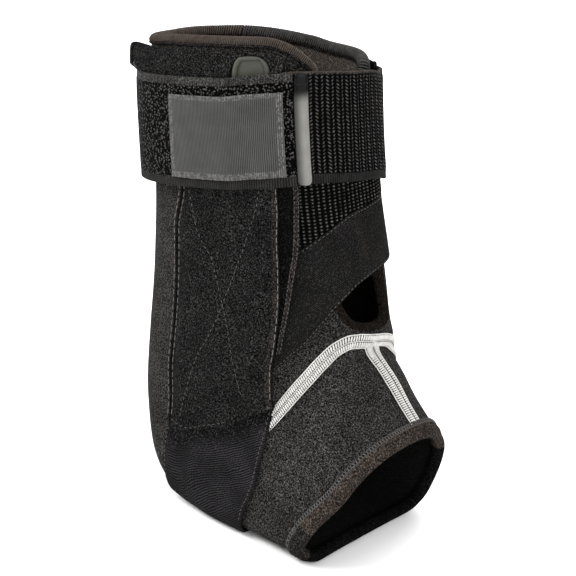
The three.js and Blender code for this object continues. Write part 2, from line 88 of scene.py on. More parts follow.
# Sections of the boot: backX backZ frontX frontZ widen belly backRound frontRound tuck
SECTIONS = np.array([
    [-0.468, 0.904, 0.180, 0.994, 0.00, 0.50, 2.4, 2.4, 0.00],
    [-0.450, 0.779, 0.212, 0.868, 0.05, 0.50, 2.4, 2.4, 0.00],
    [-0.408, 0.615, 0.268, 0.699, 0.00, 0.50, 2.4, 2.4, 0.00],
    [-0.392, 0.456, 0.333, 0.566, 0.00, 0.50, 2.4, 2.4, 0.00],
    [-0.375, 0.301, 0.378, 0.482, 0.14, 0.48, 2.4, 2.4, 0.00],
    [-0.342, 0.142, 0.408, 0.444, 0.21, 0.42, 2.5, 2.3, 0.00],
    [-0.222, 0.020, 0.420, 0.420, 0.36, 0.34, 3.2, 2.3, 0.00],
    [-0.006, -0.004, 0.416, 0.390, 0.57, 0.28, 4.2, 2.2, 0.00],
    [0.188, -0.006, 0.455, 0.346, 0.64, 0.26, 4.2, 2.3, 0.005],
    [0.338, -0.006, 0.505, 0.292, 0.79, 0.28, 4.0, 2.3, 0.022],
    [0.450, -0.006, 0.574, 0.240, 1.00, 0.32, 3.6, 2.3, 0.045],
])
HEEL_STRAP_FRONT = 0.805
TOE_BINDING_BACK = 0.9
SOLE_BEND = 2
TUCK_FROM = 35
TUCK_SPAN = 90

# The rest of the tables: rim and seams by turn, the others by drop
RIM = [
    [0, 0.024], [50, 0.012], [75, 0.002], [95, 0.001], [115, 0.002], [126, 0.007], [139, 0.025],
    [150, 0.046], [156, 0.058], [183, 0.080], [216, 0.068], [227, 0.062], [258, 0.056],
    [273, 0.046], [291, 0.038], [317, 0.031], [336, 0.027], [360, 0.024],
]
OPENING = [  # drop, near edge, far edge
    [0.056, 154, 217], [0.10, 155, 211], [0.20, 157, 199], [0.30, 157, 192],
    [0.36, 156.5, 191], [0.40, 160, 190.5], [0.43, 163.5, 189.5], [0.455, 169, 187],
    [0.468, 173, 184], [0.475, 178, 178],
]
OPENING_BOTTOM = 0.475
OPENING_MIDDLE = 178
SEAM_LINE = [
    [0, 0.69], [114, 0.672], [123, 0.656], [135, 0.610], [144, 0.563], [151, 0.531],
    [158, 0.522], [165, 0.540], [173, 0.578], [180, 0.604], [190, 0.635], [200, 0.665],
    [215, 0.690], [245, 0.690], [360, 0.690],
]
PANEL_OUTLINE = [  # drop, back edge, front edge
    [0.020, 43, 133], [0.030, 38, 134], [0.045, 36, 131], [0.056, 38, 126],
    [0.075, 44, 126], [0.110, 55, 127], [0.150, 65, 127], [0.200, 75, 127],
    [0.250, 71, 125], [0.350, 71, 123], [0.430, 71, 121.5], [0.520, 74.5, 121],
    [0.630, 74, 121],
]
PANEL_TOP = 0.02
PANEL_BOTTOM = [0.545, 0.640]
PANEL_RISE = [  # across, height above the ankle, height below it
    [0.00, ON_SLEEVE, ON_SLEEVE], [0.05, ON_SLEEVE, ON_SLEEVE],
    [0.20, ON_STAY, ON_SLEEVE], [0.68, ON_STAY, ON_SLEEVE],
    [0.80, ON_UNDER_PANEL, ON_ELASTIC], [1.00, ON_UNDER_PANEL, ON_ELASTIC],
]
ANKLE = [0.5, 0.57]
CORNER_TURN = 5
CORNER_SHARE = 0.03
FLARE_ACROSS = 0.24
FLARE_END = 0.076
FLARE_SPAN = 0.018
WING_RAISE = 2.6
STAY_LINE = [[0.03, 118], [0.12, 106], [0.20, 101], [0.35, 97], [0.48, 98]]
WINDOW_TURN = 115.5
STAY_BOTTOM = 0.48
STAY_MIDDLE = 0.2
UNDER_PANEL_BACK = [121, 116]
UNDER_PANEL_ENDS = [0.12, 0.47]
UNDER_PANEL_FRONT = [
    [0.12, 139], [0.19, 139], [0.24, 137], [0.27, 135], [0.30, 132], [0.36, 128],
    [0.42, 125], [0.47, 124],
]
HEEL_STRAP = [  # share, back turn, back drop, front turn, front drop
    [0.00, 74.5, 0.545, 121, 0.640], [0.12, 71, 0.567, 115, 0.692],
    [0.24, 66, 0.597, 107.5, 0.727], [0.38, 57, 0.620, 98, 0.760],
    [0.54, 45, 0.636, 85, 0.783], [0.74, 25, 0.648, 53, 0.795],
    [1.00, 0, 0.652, 0, 0.798],
]
DIAGONAL = [  # turn, upper edge, lower edge
    [118, 0.292, 0.530], [125, 0.282, 0.505], [134, 0.268, 0.470], [139, 0.262, 0.442],
    [145, 0.254, 0.410], [157, 0.241, 0.365], [172, 0.228, 0.335], [191, 0.222, 0.320],
    [242, 0.214, 0.310],
]
ELASTIC_TOP = 0.15
FRONT_RISE = [[138, ON_SLEEVE], [145, ON_BINDING], [214, ON_BINDING], [221, ON_SLEEVE]]
FRONT_ENDS = [118, 242]
WRAP_TOP = [
    [0, 0.070], [50, 0.065], [75, 0.062], [100, 0.060], [117, 0.055], [139, 0.053],
    [151, 0.055], [191, 0.070], [215, 0.080], [258, 0.080], [315, 0.075], [360, 0.070],
]
WRAP_ENDS = [130, 498]
WRAP_RISE = [
    [130, WRAP_AT_FRONT], [218, WRAP_AT_FRONT], [225, ON_PANEL_EDGE], [256, ON_PANEL_EDGE],
    [270, ON_POCKET], [310, ON_POCKET], [360, ON_ELASTIC], [400, ON_POCKET],
    [455, ON_POCKET], [468, ON_PANEL_EDGE], [475, ON_PANEL_EDGE], [482, ON_WRAP_END],
    [510, ON_WRAP_END],
]
LABEL_START = 437
LABEL_DROP = 0.12
SEAM_END = 114
TOE_SEAM_TURNS = [172, 190.5]
TOE_SEAM_GAP = -3.0


def mix(start, end, share):
    return start + (end - start) * share


def smooth(low, high, value):
    t = np.clip((value - low) / (high - low), 0, 1)
    return t * t * (3 - 2 * t)


def read(table, place, column=1):
    """A column of a table as a smooth curve without overshoot."""
    rows = np.asarray(table, float)
    at, values = rows[:, 0], rows[:, column]
    gaps = np.diff(at)
    slopes = np.diff(values) / gaps
    tangents = np.zeros(len(at))
    tangents[0], tangents[-1] = slopes[0], slopes[-1]
    product = slopes[:-1] * slopes[1:]
    total = slopes[:-1] + slopes[1:]
    level = product <= 0
    tangents[1:-1] = np.where(level, 0, 2 * product / np.where(level, 1, total))
    place = np.clip(place, at[0], at[-1])
    row = np.clip(np.searchsorted(at, place, side="right") - 1, 0, len(at) - 2)
    t = (place - at[row]) / gaps[row]
    start, end = values[row], values[row + 1]
    rise = end - start
    leave, arrive = gaps[row] * tangents[row], gaps[row] * tangents[row + 1]
    return start + leave * t + (3 * rise - 2 * leave - arrive) * t**2 + (
        leave + arrive - 2 * rise) * t**3


def section_at(drop):
    last = len(SECTIONS) - 1
    place = np.clip(drop, 0, 1) * last
    row = np.minimum(np.floor(place).astype(int), last - 1)
    t = (place - row)[..., None]
    before, value, following, beyond = (
        SECTIONS[np.clip(row + step, 0, last)] for step in (-1, 0, 1, 2))
    return 0.5 * (2 * value + (following - before) * t
                  + (2 * before - 5 * value + 4 * following - beyond) * t**2
                  + (3 * value - before - 3 * following + beyond) * t**3)


def surface(turn, drop):
    """The boot surface: turn goes round the leg in degrees, drop from the collar to the toes."""
    turn, drop = np.broadcast_arrays(np.asarray(turn, float), np.asarray(drop, float))
    (back_x, back_z, front_x, front_z, widen, belly, back_round, front_round,
     tuck) = np.moveaxis(section_at(drop), -1, 0)
    cos, sin = np.cos(np.radians(turn)), np.sin(np.radians(turn))
    square = np.where(cos > 0, back_round, front_round)
    along = np.abs(cos) ** (2 / square)
    side = np.abs(sin) ** (2 / square)
    share = np.where(cos > 0, belly * (1 - along), belly + (1 - belly) * along)
    fold = np.sin(np.pi * np.clip((turn % 360 - TUCK_FROM) / TUCK_SPAN, 0, 1)) ** 2
    height = BRACE_HEIGHT * mix(back_z, front_z, share)
    sole = mix(HEEL_STRAP_WALL + LAYER_GAP, BINDING_WALL + LAYER_GAP,
               smooth(HEEL_STRAP_FRONT, TOE_BINDING_BACK, drop))
    over = height - sole
    laid = sole + np.maximum(over + SOLE_BEND, 0) ** 2 / (4 * SOLE_BEND)
    return np.stack([
        FOOT_LENGTH * (mix(back_x, front_x, share) - tuck * fold),
        -0.5 * mix(LEG_WIDTH, TOE_WIDTH, widen) * side * np.sign(sin),
        np.where(over > SOLE_BEND, height, laid),
    ], axis=-1)


TURN_NUDGE = 0.4
DROP_NUDGE = 0.001


def across_turn(turn, drop):
    return (surface(turn + TURN_NUDGE, drop) - surface(turn - TURN_NUDGE, drop)) / (2 * TURN_NUDGE)


def across_drop(turn, drop):
    low, high = np.clip(drop - DROP_NUDGE, 0, 1), np.clip(drop + DROP_NUDGE, 0, 1)
    return (surface(turn, high) - surface(turn, low)) / (high - low)[..., None]


def norm(vectors):
    return np.linalg.norm(vectors, axis=-1)


def unit(vectors):
    return vectors / norm(vectors)[..., None]


def normal(turn, drop):
    return unit(np.cross(across_drop(turn, drop), across_turn(turn, drop)))


RIPPLES = [(0.28, 3, 11, 0), (0.2, 5, -19, 1), (0.14, 9, 31, 2)]  # height, round, down, phase
RIPPLE_FADE = (4, 22)


def ripple(turn, drop, height):
    """Soft waves of the padded cloth, which die out where it lies flat on the sole."""
    waves = sum(size * np.sin(around * np.radians(turn) + down * drop + phase)
                for size, around, down, phase in RIPPLES)
    return waves * smooth(*RIPPLE_FADE, height)


def lifted(turn, drop, height):
    """Points at a height above the boot surface."""
    turn, drop = np.broadcast_arrays(np.asarray(turn, float), np.asarray(drop, float))
    base = surface(turn, drop)
    rise = np.asarray(height) + ripple(turn, drop, base[..., 2])
    return base + normal(turn, drop) * rise[..., None]


WALK_STEPS = 6
SLIDE_STEPS = 4


def drop_by(turn, drop, length):
    """The drop that lies a length further down."""
    turn, reached = np.broadcast_arrays(np.asarray(turn, float), np.asarray(drop, float))
    for _ in range(WALK_STEPS):
        reached = reached + length / WALK_STEPS / norm(across_drop(turn, reached))
    return reached


def turn_by(turn, drop, length):
    """The turn that lies a length further round."""
    reached, drop = np.broadcast_arrays(np.asarray(turn, float), np.asarray(drop, float))
    for _ in range(WALK_STEPS):
        reached = reached + length / WALK_STEPS / norm(across_turn(reached, drop))
    return reached


def slide(turn, drop, direction, length):
    """The place that lies a length further on along the surface, in a direction."""
    for _ in range(SLIDE_STEPS):
        a, b = across_turn(turn, drop), across_drop(turn, drop)
        aa, bb, ab = (a * a).sum(-1), (b * b).sum(-1), (a * b).sum(-1)
        ad, bd = (a * direction).sum(-1), (b * direction).sum(-1)
        scale = length / SLIDE_STEPS / (aa * bb - ab**2)
        turn = turn + scale * (ad * bb - bd * ab)
        drop = np.clip(drop + scale * (bd * aa - ad * ab), 0, 1)
    return turn, drop


def rim_drop(turn):
    return read(RIM, np.asarray(turn) % 360)


def seam_drop(turn):
    return read(SEAM_LINE, np.asarray(turn) % 360)


def wrap_top(turn):
    return read(WRAP_TOP, np.asarray(turn) % 360)


# Meshes

WELD = 2e-6


def placed(name, data):
    """A new object in the scene."""
    made = bpy.data.objects.new(name, data)
    bpy.context.scene.collection.objects.link(made)
    return made


class Piece:
    """Gathers grids of points, in millimetres, into one mesh of the object."""

    def __init__(self, name, *materials):
        self.name, self.materials = name, materials
        self.points, self.faces, self.uvs, self.slots = [], [], [], []
        self.count = 0

    def add(self, points, faces, uv, slot=0):
        self.points.append(points.reshape(-1, 3))
        self.uvs.append(uv.reshape(-1, 2))
        self.faces.append(faces + self.count)
        self.slots.append(np.full(len(faces), slot))
        self.count += self.points[-1].shape[0]

    def make(self, slot, *nodes):
        points, faces = np.concatenate(self.points) * MM, np.concatenate(self.faces)
        points[:, 2] = np.maximum(points[:, 2], 0)
        uvs, slots = np.concatenate(self.uvs), np.concatenate(self.slots)
        mesh = bpy.data.meshes.new(self.name)
        mesh.from_pydata(points.tolist(), [], faces.tolist())
        mesh.polygons.foreach_set("material_index", slots.astype(np.int32))
        mesh.polygons.foreach_set("use_smooth", np.ones(len(faces), bool))
        layer = mesh.uv_layers.new(name=UV_NAME)
        layer.data.foreach_set("uv", uvs[faces.ravel()].ravel())
        for material in self.materials:
            mesh.materials.append(material)
        work = bmesh.new()
        work.from_mesh(mesh)
        bmesh.ops.remove_doubles(work, verts=work.verts, dist=WELD)
        bmesh.ops.dissolve_degenerate(work, edges=work.edges, dist=WELD)
        work.to_mesh(mesh)
        work.free()
        mesh.update()
        made = placed(self.name, mesh)
        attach(made, BODY)
        for node in nodes:
            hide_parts(node)
        return made


def grid_faces(columns, rows, closed=False):
    """The quads of a grid of points, facing out when columns go round and rows go down."""
    index = np.arange(columns * rows).reshape(columns, rows)
    if closed:
        index = np.concatenate([index, index[:1]])
    here, beside = index[:-1], index[1:]
    quads = [here[:, :-1], here[:, 1:], beside[:, 1:], beside[:, :-1]]
    return np.stack(quads, axis=-1).reshape(-1, 4)


def spread(length, step, edge):
    """Shares along a length, closer in its rounded edges, and how full the cloth is there."""
    count = max(int(round((length - 2 * edge) / step)), 1)
    inside = np.linspace(edge, length - edge, count + 1)
    if not edge:
        return inside / length, np.ones(count + 1)
    angles = np.linspace(0, np.pi / 2, 4)[:-1]
    bend, fullness = edge * (1 - np.cos(angles)), np.sin(angles)
    places = np.concatenate([bend, inside, length - bend[::-1]])
    return places / length, np.concatenate([fullness, np.ones(count + 1), fullness[::-1]])


def measured(points, axis):
    """Lengths from the first point of each line of a grid, along one of its axes."""
    steps = norm(np.diff(points, axis=axis))
    start = np.zeros_like(np.take(steps, [0], axis=axis))
    return np.concatenate([start, np.cumsum(steps, axis=axis)], axis=axis)


COARSE_GRID = (60, 30)


def sheet(piece, place, under, wall, step, edges=(0.6, 0.6), slots=(0, 0), relief=None,
          joined=None):
    """Cloth laid on the boot: place(u, w) gives turn and drop, under its underside's height.

    edges are how far its side and end edges are rounded. relief(u, v) raises the face, in
    millimetres, at a place given in millimetres. joined(w) is 1 in rows whose sides meet.
    """
    coarse_u, coarse_w = np.meshgrid(*(np.linspace(0, 1, n) for n in COARSE_GRID), indexing="ij")
    coarse = surface(*place(coarse_u, coarse_w))
    length = measured(coarse, 0)[-1].mean()
    height = measured(coarse, 1)[:, -1].mean()
    across, side_fullness = spread(length, step[0], edges[0])
    down, end_fullness = spread(height, step[1], edges[1])
    u, w = np.meshgrid(across, down, indexing="ij")
    turn, drop = place(u, w)
    sides = np.broadcast_to(side_fullness[:, None], u.shape)
    if joined is not None:
        sides = mix(sides, 1, joined(w))
    full = sides * end_fullness
    base = under(turn, drop, u, w)
    plain = surface(turn, drop)
    lengths = measured(plain, 0)
    uv = np.stack([np.broadcast_to(lengths[:, lengths.shape[1] // 2, None], u.shape),
                   measured(plain, 1)], axis=-1)
    top = wall * (0.5 + 0.5 * full)
    if relief is not None:
        top = top + relief(uv[..., 0], uv[..., 1]) * full
    outer = lifted(turn, drop, base + top)
    inner = lifted(turn, drop, base + wall * (0.5 - 0.5 * full))
    faces = grid_faces(*u.shape)
    piece.add(outer, faces, uv, slots[0])
    piece.add(inner, faces[:, ::-1], uv, slots[1])
    return length


def tubes(piece, paths, sides, radius, around=6, slot=0):
    """Threads along many paths at once. sides are directions across each path."""
    count, stations, _ = paths.shape
    tangents = unit(np.gradient(paths, axis=1))
    sideways = np.broadcast_to(sides, paths.shape)
    sideways = unit(sideways - tangents * (sideways * tangents).sum(-1, keepdims=True))
    upward = np.cross(tangents, sideways)
    ends = np.linspace(-1, 1, stations)
    taper = np.sqrt(np.maximum(1 - ends**8, 0))[None, :, None, None] * radius
    angles = np.linspace(0, 2 * np.pi, around, endpoint=False)[:, None]
    rings = paths[:, :, None] + taper * (
        np.cos(angles) * sideways[:, :, None] + np.sin(angles) * upward[:, :, None])
    index = np.arange(count * stations * around).reshape(count, stations, around)
    turned = np.roll(index, -1, axis=2)
    quads = np.stack([index[:, :-1], turned[:, :-1], turned[:, 1:], index[:, 1:]], axis=-1)
    along = np.broadcast_to(measured(paths, 1)[:, :, None], rings.shape[:3])
    about = np.broadcast_to(np.arange(around) * radius, rings.shape[:3])
    uv = np.stack([along, about], axis=-1)
    piece.add(rings, quads.reshape(-1, 4), uv, slot)


def threaded(section, starts, lag, closed=True):
    """Paths over a section's columns, each a lag further along it, and the stations they pass."""
    place = starts[:, None] + lag
    low = np.floor(place).astype(int)
    part = (place - low)[..., None]
    columns, count = np.arange(section.shape[1]), len(section)
    after = (low + 1) % count if closed else np.minimum(low + 1, count - 1)
    low = low % count
    return mix(section[low, columns], section[after, columns], part), low


def resampled(turn, drop, step, closed=False):
    """A line on the surface again, with points an even length apart."""
    length = measured(surface(turn, drop), 0)
    count = max(int(round(length[-1] / step)), 2)
    at = np.linspace(0, length[-1], count + 1)
    if closed:
        at = at[:-1]
    return np.interp(at, length, turn), np.interp(at, length, drop)


STITCH_STEP = 0.25
STITCH_BOW = 1.5


def thread_line(piece, turn, drop, height, slot, dash, gap, radius):
    """Stitches along a line whose heights are given point by point."""
    length = measured(surface(turn, drop), 0)
    at = np.arange(0, length[-1], STITCH_STEP)
    turn, drop, height = (np.interp(at, length, values) for values in (turn, drop, height))
    points = lifted(turn, drop, height)
    outward = normal(turn, drop)
    along = unit(np.gradient(points, axis=0))
    period, stations = int(round((dash + gap) / STITCH_STEP)), int(round(dash / STITCH_STEP)) + 1
    starts = np.arange(0, len(turn) - stations, period)
    picked = starts[:, None] + np.arange(stations)
    bow = radius * STITCH_BOW * np.linspace(-1, 1, stations) ** 4
    paths = points[picked] - outward[picked] * bow[:, None]
    tubes(piece, paths, np.cross(outward, along)[picked], radius, around=5, slot=slot)


def arched(share):
    """A quarter circle's height at a share of its width."""
    return np.sqrt(1 - (1 - np.clip(share, 0, 1)) ** 2)


def side_turn(side):
    return (lambda turn: 360 - turn) if side == "far" else (lambda turn: turn)


def facing(place, side):
    """Turns a mirrored grid's columns round, so that its faces still look out."""
    return place if side == "near" else (lambda u, w: place(1 - u, w))


# Materials


class Pattern:
    """A value worked out by Math nodes, so that a weave is written as a formula."""

    def __init__(self, tree, socket):
        self.tree, self.socket = tree, socket

    def math(self, operation, *others):
        node = self.tree.nodes.new("ShaderNodeMath")
        node.operation = operation
        for value, entry in zip((self, *others), node.inputs):
            if isinstance(value, Pattern):
                self.tree.links.new(value.socket, entry)
            else:
                entry.default_value = value
        return Pattern(self.tree, node.outputs[0])

    def __add__(self, other):
        return self.math("ADD", other)

    def __sub__(self, other):
        return self.math("SUBTRACT", other)

    def __mul__(self, other):
        return self.math("MULTIPLY", other)

    def __truediv__(self, other):
        return self.math("DIVIDE", other)

    def fraction(self):
        return self.math("FRACT")

    def size(self):
        return self.math("ABSOLUTE")

    def reversed(self):
        return self * -1 + 1

    def off_middle(self, period):
        """How far off the middle of its stripe a place is, 0 to 0.5, in stripes of a period."""
        return ((self / period).fraction() - 0.5).size()

    def ramp(self, low, high, start=0.0, end=1.0):
        """Rises smoothly from start to end as the value goes from low to high."""
        node = self.tree.nodes.new("ShaderNodeMapRange")
        node.interpolation_type = "SMOOTHSTEP"
        self.tree.links.new(self.socket, node.inputs["Value"])
        for name, value in zip(("From Min", "From Max", "To Min", "To Max"),
                               (low, high, start, end)):
            node.inputs[name].default_value = value
        return Pattern(self.tree, node.outputs[0])


class Finish:
    """A material: places to read patterns from, and the shader that they feed."""

    def __init__(self, name, roughness, specular):
        self.material = bpy.data.materials.new(name)
        self.material.use_nodes = True
        self.tree = self.material.node_tree
        self.shader = self.tree.nodes["Principled BSDF"]
        self.shader.inputs["Roughness"].default_value = roughness
        self.shader.inputs["Specular IOR Level"].default_value = specular
        self.where = self.tree.nodes.new("ShaderNodeTexCoord").outputs["Object"]
        flat = self.tree.nodes.new("ShaderNodeUVMap")
        flat.uv_map = UV_NAME
        split = self.tree.nodes.new("ShaderNodeSeparateXYZ")
        self.tree.links.new(flat.outputs[0], split.inputs[0])
        self.round = Pattern(self.tree, split.outputs[0])
        self.down = Pattern(self.tree, split.outputs[1])

    def texture(self, kind, output, size, **settings):
        """A texture read at a size, in millimetres."""
        node = self.tree.nodes.new(kind)
        node.inputs["Scale"].default_value = 1 / (size * MM)
        for entry, value in settings.items():
            node.inputs[entry].default_value = value
        self.tree.links.new(self.where, node.inputs["Vector"])
        return Pattern(self.tree, node.outputs[output])

    def noise(self, size, detail=2.0, roughness=0.5):
        """Noise whose features are about a size across."""
        return self.texture("ShaderNodeTexNoise", 0, size, Detail=detail, Roughness=roughness)

    def drift(self, size, reach, detail=2.0):
        """Noise to either side of 0, which makes rows and columns wander."""
        return (self.noise(size, detail) - 0.5) * reach

    def shading(self, size, low, high):
        """Broad soft changes of shade between two values."""
        return self.noise(size).ramp(0.3, 0.7, low, high)

    def loops(self, size, random=0.9, inner=0.1, outer=0.75):
        """Round loops of a size: 1 at each one's middle."""
        distance = self.texture("ShaderNodeTexVoronoi", "Distance", size, Randomness=random)
        return distance.ramp(inner, outer, 1, 0)

    def mixed(self, pattern, dark, light):
        """A socket with the colour between two, each a tuple or another socket."""
        node = self.tree.nodes.new("ShaderNodeMix")
        node.data_type = "RGBA"
        self.tree.links.new(pattern.socket, node.inputs[0])
        for entry, value in ((node.inputs[6], dark), (node.inputs[7], light)):
            if isinstance(value, tuple):
                entry.default_value = (*value, 1)
            else:
                self.tree.links.new(value, entry)
        return node.outputs[2]

    def colour(self, pattern, dark, light):
        """Gives the surface the colour between two, and returns its socket for more mixing."""
        colour = self.mixed(pattern, dark, light)
        self.tree.links.new(colour, self.shader.inputs["Base Color"])
        return colour

    def bump(self, pattern, height):
        """Raises the pattern by a height in millimetres."""
        node = self.tree.nodes.new("ShaderNodeBump")
        node.inputs["Distance"].default_value = height * MM
        node.inputs["Strength"].default_value = 1
        self.tree.links.new(pattern.socket, node.inputs["Height"])
        self.tree.links.new(node.outputs[0], self.shader.inputs["Normal"])

    def rough(self, pattern, low, high):
        self.tree.links.new(pattern.ramp(0, 1, low, high).socket, self.shader.inputs["Roughness"])


CLOTH_SPECULAR = 0.015
BLACK = (0.0005, 0.0005, 0.0005)


def fleece(name, dark, light, grain=0.8, relief=0.5, tint=None):
    """Brushed loop fabric: small curled loops that catch the light in flecks."""
    finish = Finish(name, 0.95, CLOTH_SPECULAR)
    loops = finish.loops(grain)
    flecks = finish.noise(grain * 0.85, 2, 0.6).ramp(0.49, 0.64)
    pile = loops * 0.3 + flecks * 0.8
    base = finish.colour(pile * finish.shading(14, 0.7, 1.0), dark, light)
    if tint:
        patches = finish.noise(7, 3).ramp(0.45, 0.75, 0, 0.55)
        finish.colour(patches * pile, base, tint)
    finish.bump(pile, relief)
    return finish.material


def beads(finish, width, length, wander, slant=0.0):
    """Columns of knit loops: the height of the loops, 1 at each one's middle."""
    drift = finish.drift(2.4, wander, 1)
    column = (finish.round + drift) / width
    across = column.fraction() - 0.5
    leaning = across
    if slant:
        pair = (column * 0.5).fraction().math("GREATER_THAN", 0.5) * 2 - 1
        leaning = across * pair
    row = ((finish.down + drift) / length + leaning * slant).fraction() - 0.5
    far = (across * across * 1.3 + row * row).math("SQRT")
    return far.ramp(0.10, 0.40, 1, 0)


def wrap_knit(near_from):
    """Ribbed elastic of the wrap strap: chevron loops in ribs, loose loops near its end."""
    finish = Finish("wrap_knit", 0.7, CLOTH_SPECULAR)
    loops = beads(finish, WRAP_RIB / 2, 1.55, 0.7, slant=0.8)
    grooves = finish.round.off_middle(WRAP_RIB).ramp(0.34, 0.48, 1, 0.05)
    front = loops * grooves * finish.noise(1.5).ramp(0.35, 0.6, 0.35, 1)
    near = finish.round.ramp(near_from - 2, near_from + 2)
    dots = finish.loops(1.15, 1.0, 0.12, 0.5) * finish.noise(1.6).ramp(0.36, 0.54, 0.3, 2.2)
    body = front * near.reversed() + dots * near
    top = finish.down.ramp(*WRAP_SELVAGES[0]) * near + finish.down.ramp(0.7, 1.2) * near.reversed()
    bottom = finish.down.ramp(*WRAP_SELVAGES[1])
    flecks = finish.noise(0.7).ramp(0.42, 0.62)
    upright = finish.round.off_middle(0.95).ramp(0.1, 0.5, 1, 0.1) * 0.45
    fuzzy = upright * 0.5 + flecks * 0.5
    bound = upright + flecks * 0.15
    middle = top * bottom.reversed()
    whole = body * middle + fuzzy * top.reversed() + bound * bottom * (near * 0.12 + 0.35)
    base = finish.colour(whole * finish.shading(5, 0.7, 1.1), BLACK, (0.085, 0.083, 0.080))
    rim = finish.down.ramp(0.2, 1.0, 1, 0) * near.reversed() * 0.5
    finish.colour(rim, base, (0.045, 0.032, 0.023))
    finish.bump(whole, 0.55)
    return finish.material


def elastic_knit():
    """The front elastic: upright columns of small oval loops."""
    finish = Finish("elastic_knit", 0.7, CLOTH_SPECULAR)
    loops = beads(finish, ELASTIC_RIB, 1.5, 0.6)
    whole = loops * finish.round.off_middle(ELASTIC_RIB).ramp(0.28, 0.46, 1, 0.05)
    varied = whole * finish.noise(2.2).ramp(0.35, 0.62, 0.25, 1.1)
    finish.colour(varied, BLACK, (0.075, 0.073, 0.070))
    finish.bump(whole, 0.6)
    return finish.material


def strap_knit():
    """The diagonal strap: a smooth knit with fine rows."""
    finish = Finish("strap_knit", 0.9, CLOTH_SPECULAR)
    drift = finish.drift(1.6, 0.9)
    rows = (finish.down + drift).off_middle(0.85).ramp(0.05, 0.5, 1, 0)
    dashes = (finish.round + drift).off_middle(1.0).ramp(0.1, 0.5, 1, 0.35)
    flecks = finish.noise(0.75, 2, 0.6).ramp(0.47, 0.66)
    whole = rows * dashes * 0.45 + flecks * 0.55
    base = finish.colour(whole * finish.shading(12, 0.75, 1.05), (0.001, 0.001, 0.001),
                         (0.031, 0.030, 0.029))
    finish.colour(finish.noise(9).ramp(0.5, 0.75, 0, 0.4) * whole, base, (0.040, 0.032, 0.026))
    finish.bump(whole, 0.4)
    return finish.material


def heel_knit():
    """The strap under the heel: wavy rows of fine ribs."""
    finish = Finish("heel_knit", 0.9, CLOTH_SPECULAR)
    rows = (finish.down + finish.drift(5, 2.2)).off_middle(1.25).ramp(0.05, 0.5, 1, 0)
    ribs = rows * finish.round.off_middle(1.1).ramp(0.2, 0.5, 1, 0.55)
    flecks = finish.noise(0.75, 2, 0.6).ramp(0.47, 0.66)
    low = finish.down.ramp(4, 16)
    whole = ribs * (low * 0.6 + 0.1) + flecks * (low.reversed() * 0.5 + 0.25)
    finish.colour(whole * finish.shading(11, 0.65, 1.05), (0.001, 0.001, 0.0011),
                  (0.036, 0.034, 0.036))
    finish.bump(whole, 0.45)
    return finish.material


def jersey():
    """The sleeve's face: a tight, fine-grained knit laminated to foam."""
    finish = Finish("sleeve_jersey", 0.92, CLOTH_SPECULAR)
    grain = finish.noise(0.6, 2, 0.65).ramp(0.47, 0.60)
    whole = grain * 0.75 + finish.loops(0.65) * 0.25
    base = finish.colour(whole * finish.shading(16, 0.75, 1.05), (0.0012, 0.0012, 0.0012),
                         (0.076, 0.073, 0.069))
    finish.colour(finish.noise(10).ramp(0.5, 0.8, 0, 0.35) * whole, base, (0.080, 0.066, 0.056))
    finish.bump(whole, 0.35)
    return finish.material


def lining(name, light, deep):
    """The inside: dark loops in slanting rows, lighter where the light falls in at the top."""
    finish = Finish(name, 0.95, CLOTH_SPECULAR)
    slanting = finish.round + finish.down * 0.8 + finish.noise(2)
    rows = slanting.off_middle(1.5).ramp(0.1, 0.5, 1, 0)
    whole = rows * 0.5 + finish.noise(0.9).ramp(0.45, 0.66) * 0.5
    finish.colour(whole * finish.down.ramp(8, 30, 1, deep), (0.002, 0.002, 0.002), light)
    finish.bump(whole, 0.4)
    return finish.material


def thread(name, colour, shade):
    """Sewing thread, with the fine turns of its twist."""
    finish = Finish(name, 0.6, 0.06)
    plies = (finish.round + finish.down * 2).off_middle(0.5).ramp(0.1, 0.5, 1, 0.3)
    finish.colour(plies * finish.shading(2.5, 0.6, 1), shade, colour)
    finish.bump(plies, 0.08)
    return finish.material


def satin(width, height):
    """The bare woven label: fine upright ribs, with a lighter woven border."""
    finish = Finish("label_satin", 0.42, 0.14)
    ribs = (finish.round + finish.drift(3, 0.25)).off_middle(0.72).ramp(0.08, 0.5, 1, 0)
    weave = ribs * finish.down.off_middle(0.5).ramp(0.1, 0.5, 1, 0.6)
    side = (finish.round - width / 2).size().ramp(width / 2 - 2.6, width / 2 - 2.0)
    end = (finish.down - height / 2).size().ramp(height / 2 - 2.3, height / 2 - 1.7)
    border = side.math("MAXIMUM", end)
    field = finish.colour(weave * finish.shading(9, 0.75, 1.1), (0.008, 0.008, 0.0078),
                          (0.058, 0.058, 0.056))
    edging = finish.mixed(finish.noise(0.9).ramp(0.38, 0.64) * ribs, (0.030, 0.030, 0.029),
                          (0.125, 0.123, 0.118))
    finish.colour(border, field, edging)
    finish.bump(weave + border * 0.6, 0.12)
    finish.rough(weave, 0.62, 0.40)
    return finish.material


def tab_plastic():
    """The moulded tab: glossy black, with a painted reflection below its first fifth that turns it
    grey, darker along one side edge.
    """
    finish = Finish("tab_plastic", 0.3, 0.1)
    shade = finish.shading(6, 0.85, 1)
    # Painted reflection: the grey below the tab's first fifth, lightening away from one side edge,
    # stands for the studio light on the black plastic.
    pale = finish.colour(shade * finish.round.ramp(0.4, 3.2, 0.1, 1), (0.030, 0.030, 0.029),
                         (0.165, 0.163, 0.153))
    finish.colour(finish.down.ramp(7.5, 14.0, 1, 0), pale, (0.0015, 0.0015, 0.0015))
    line = finish.down.ramp(4.9, 5.3) * finish.down.ramp(5.5, 5.9, 1, 0)
    finish.bump(line + finish.noise(1.5) * 0.1, 0.25)
    finish.rough(finish.noise(3), 0.25, 0.42)
    return finish.material


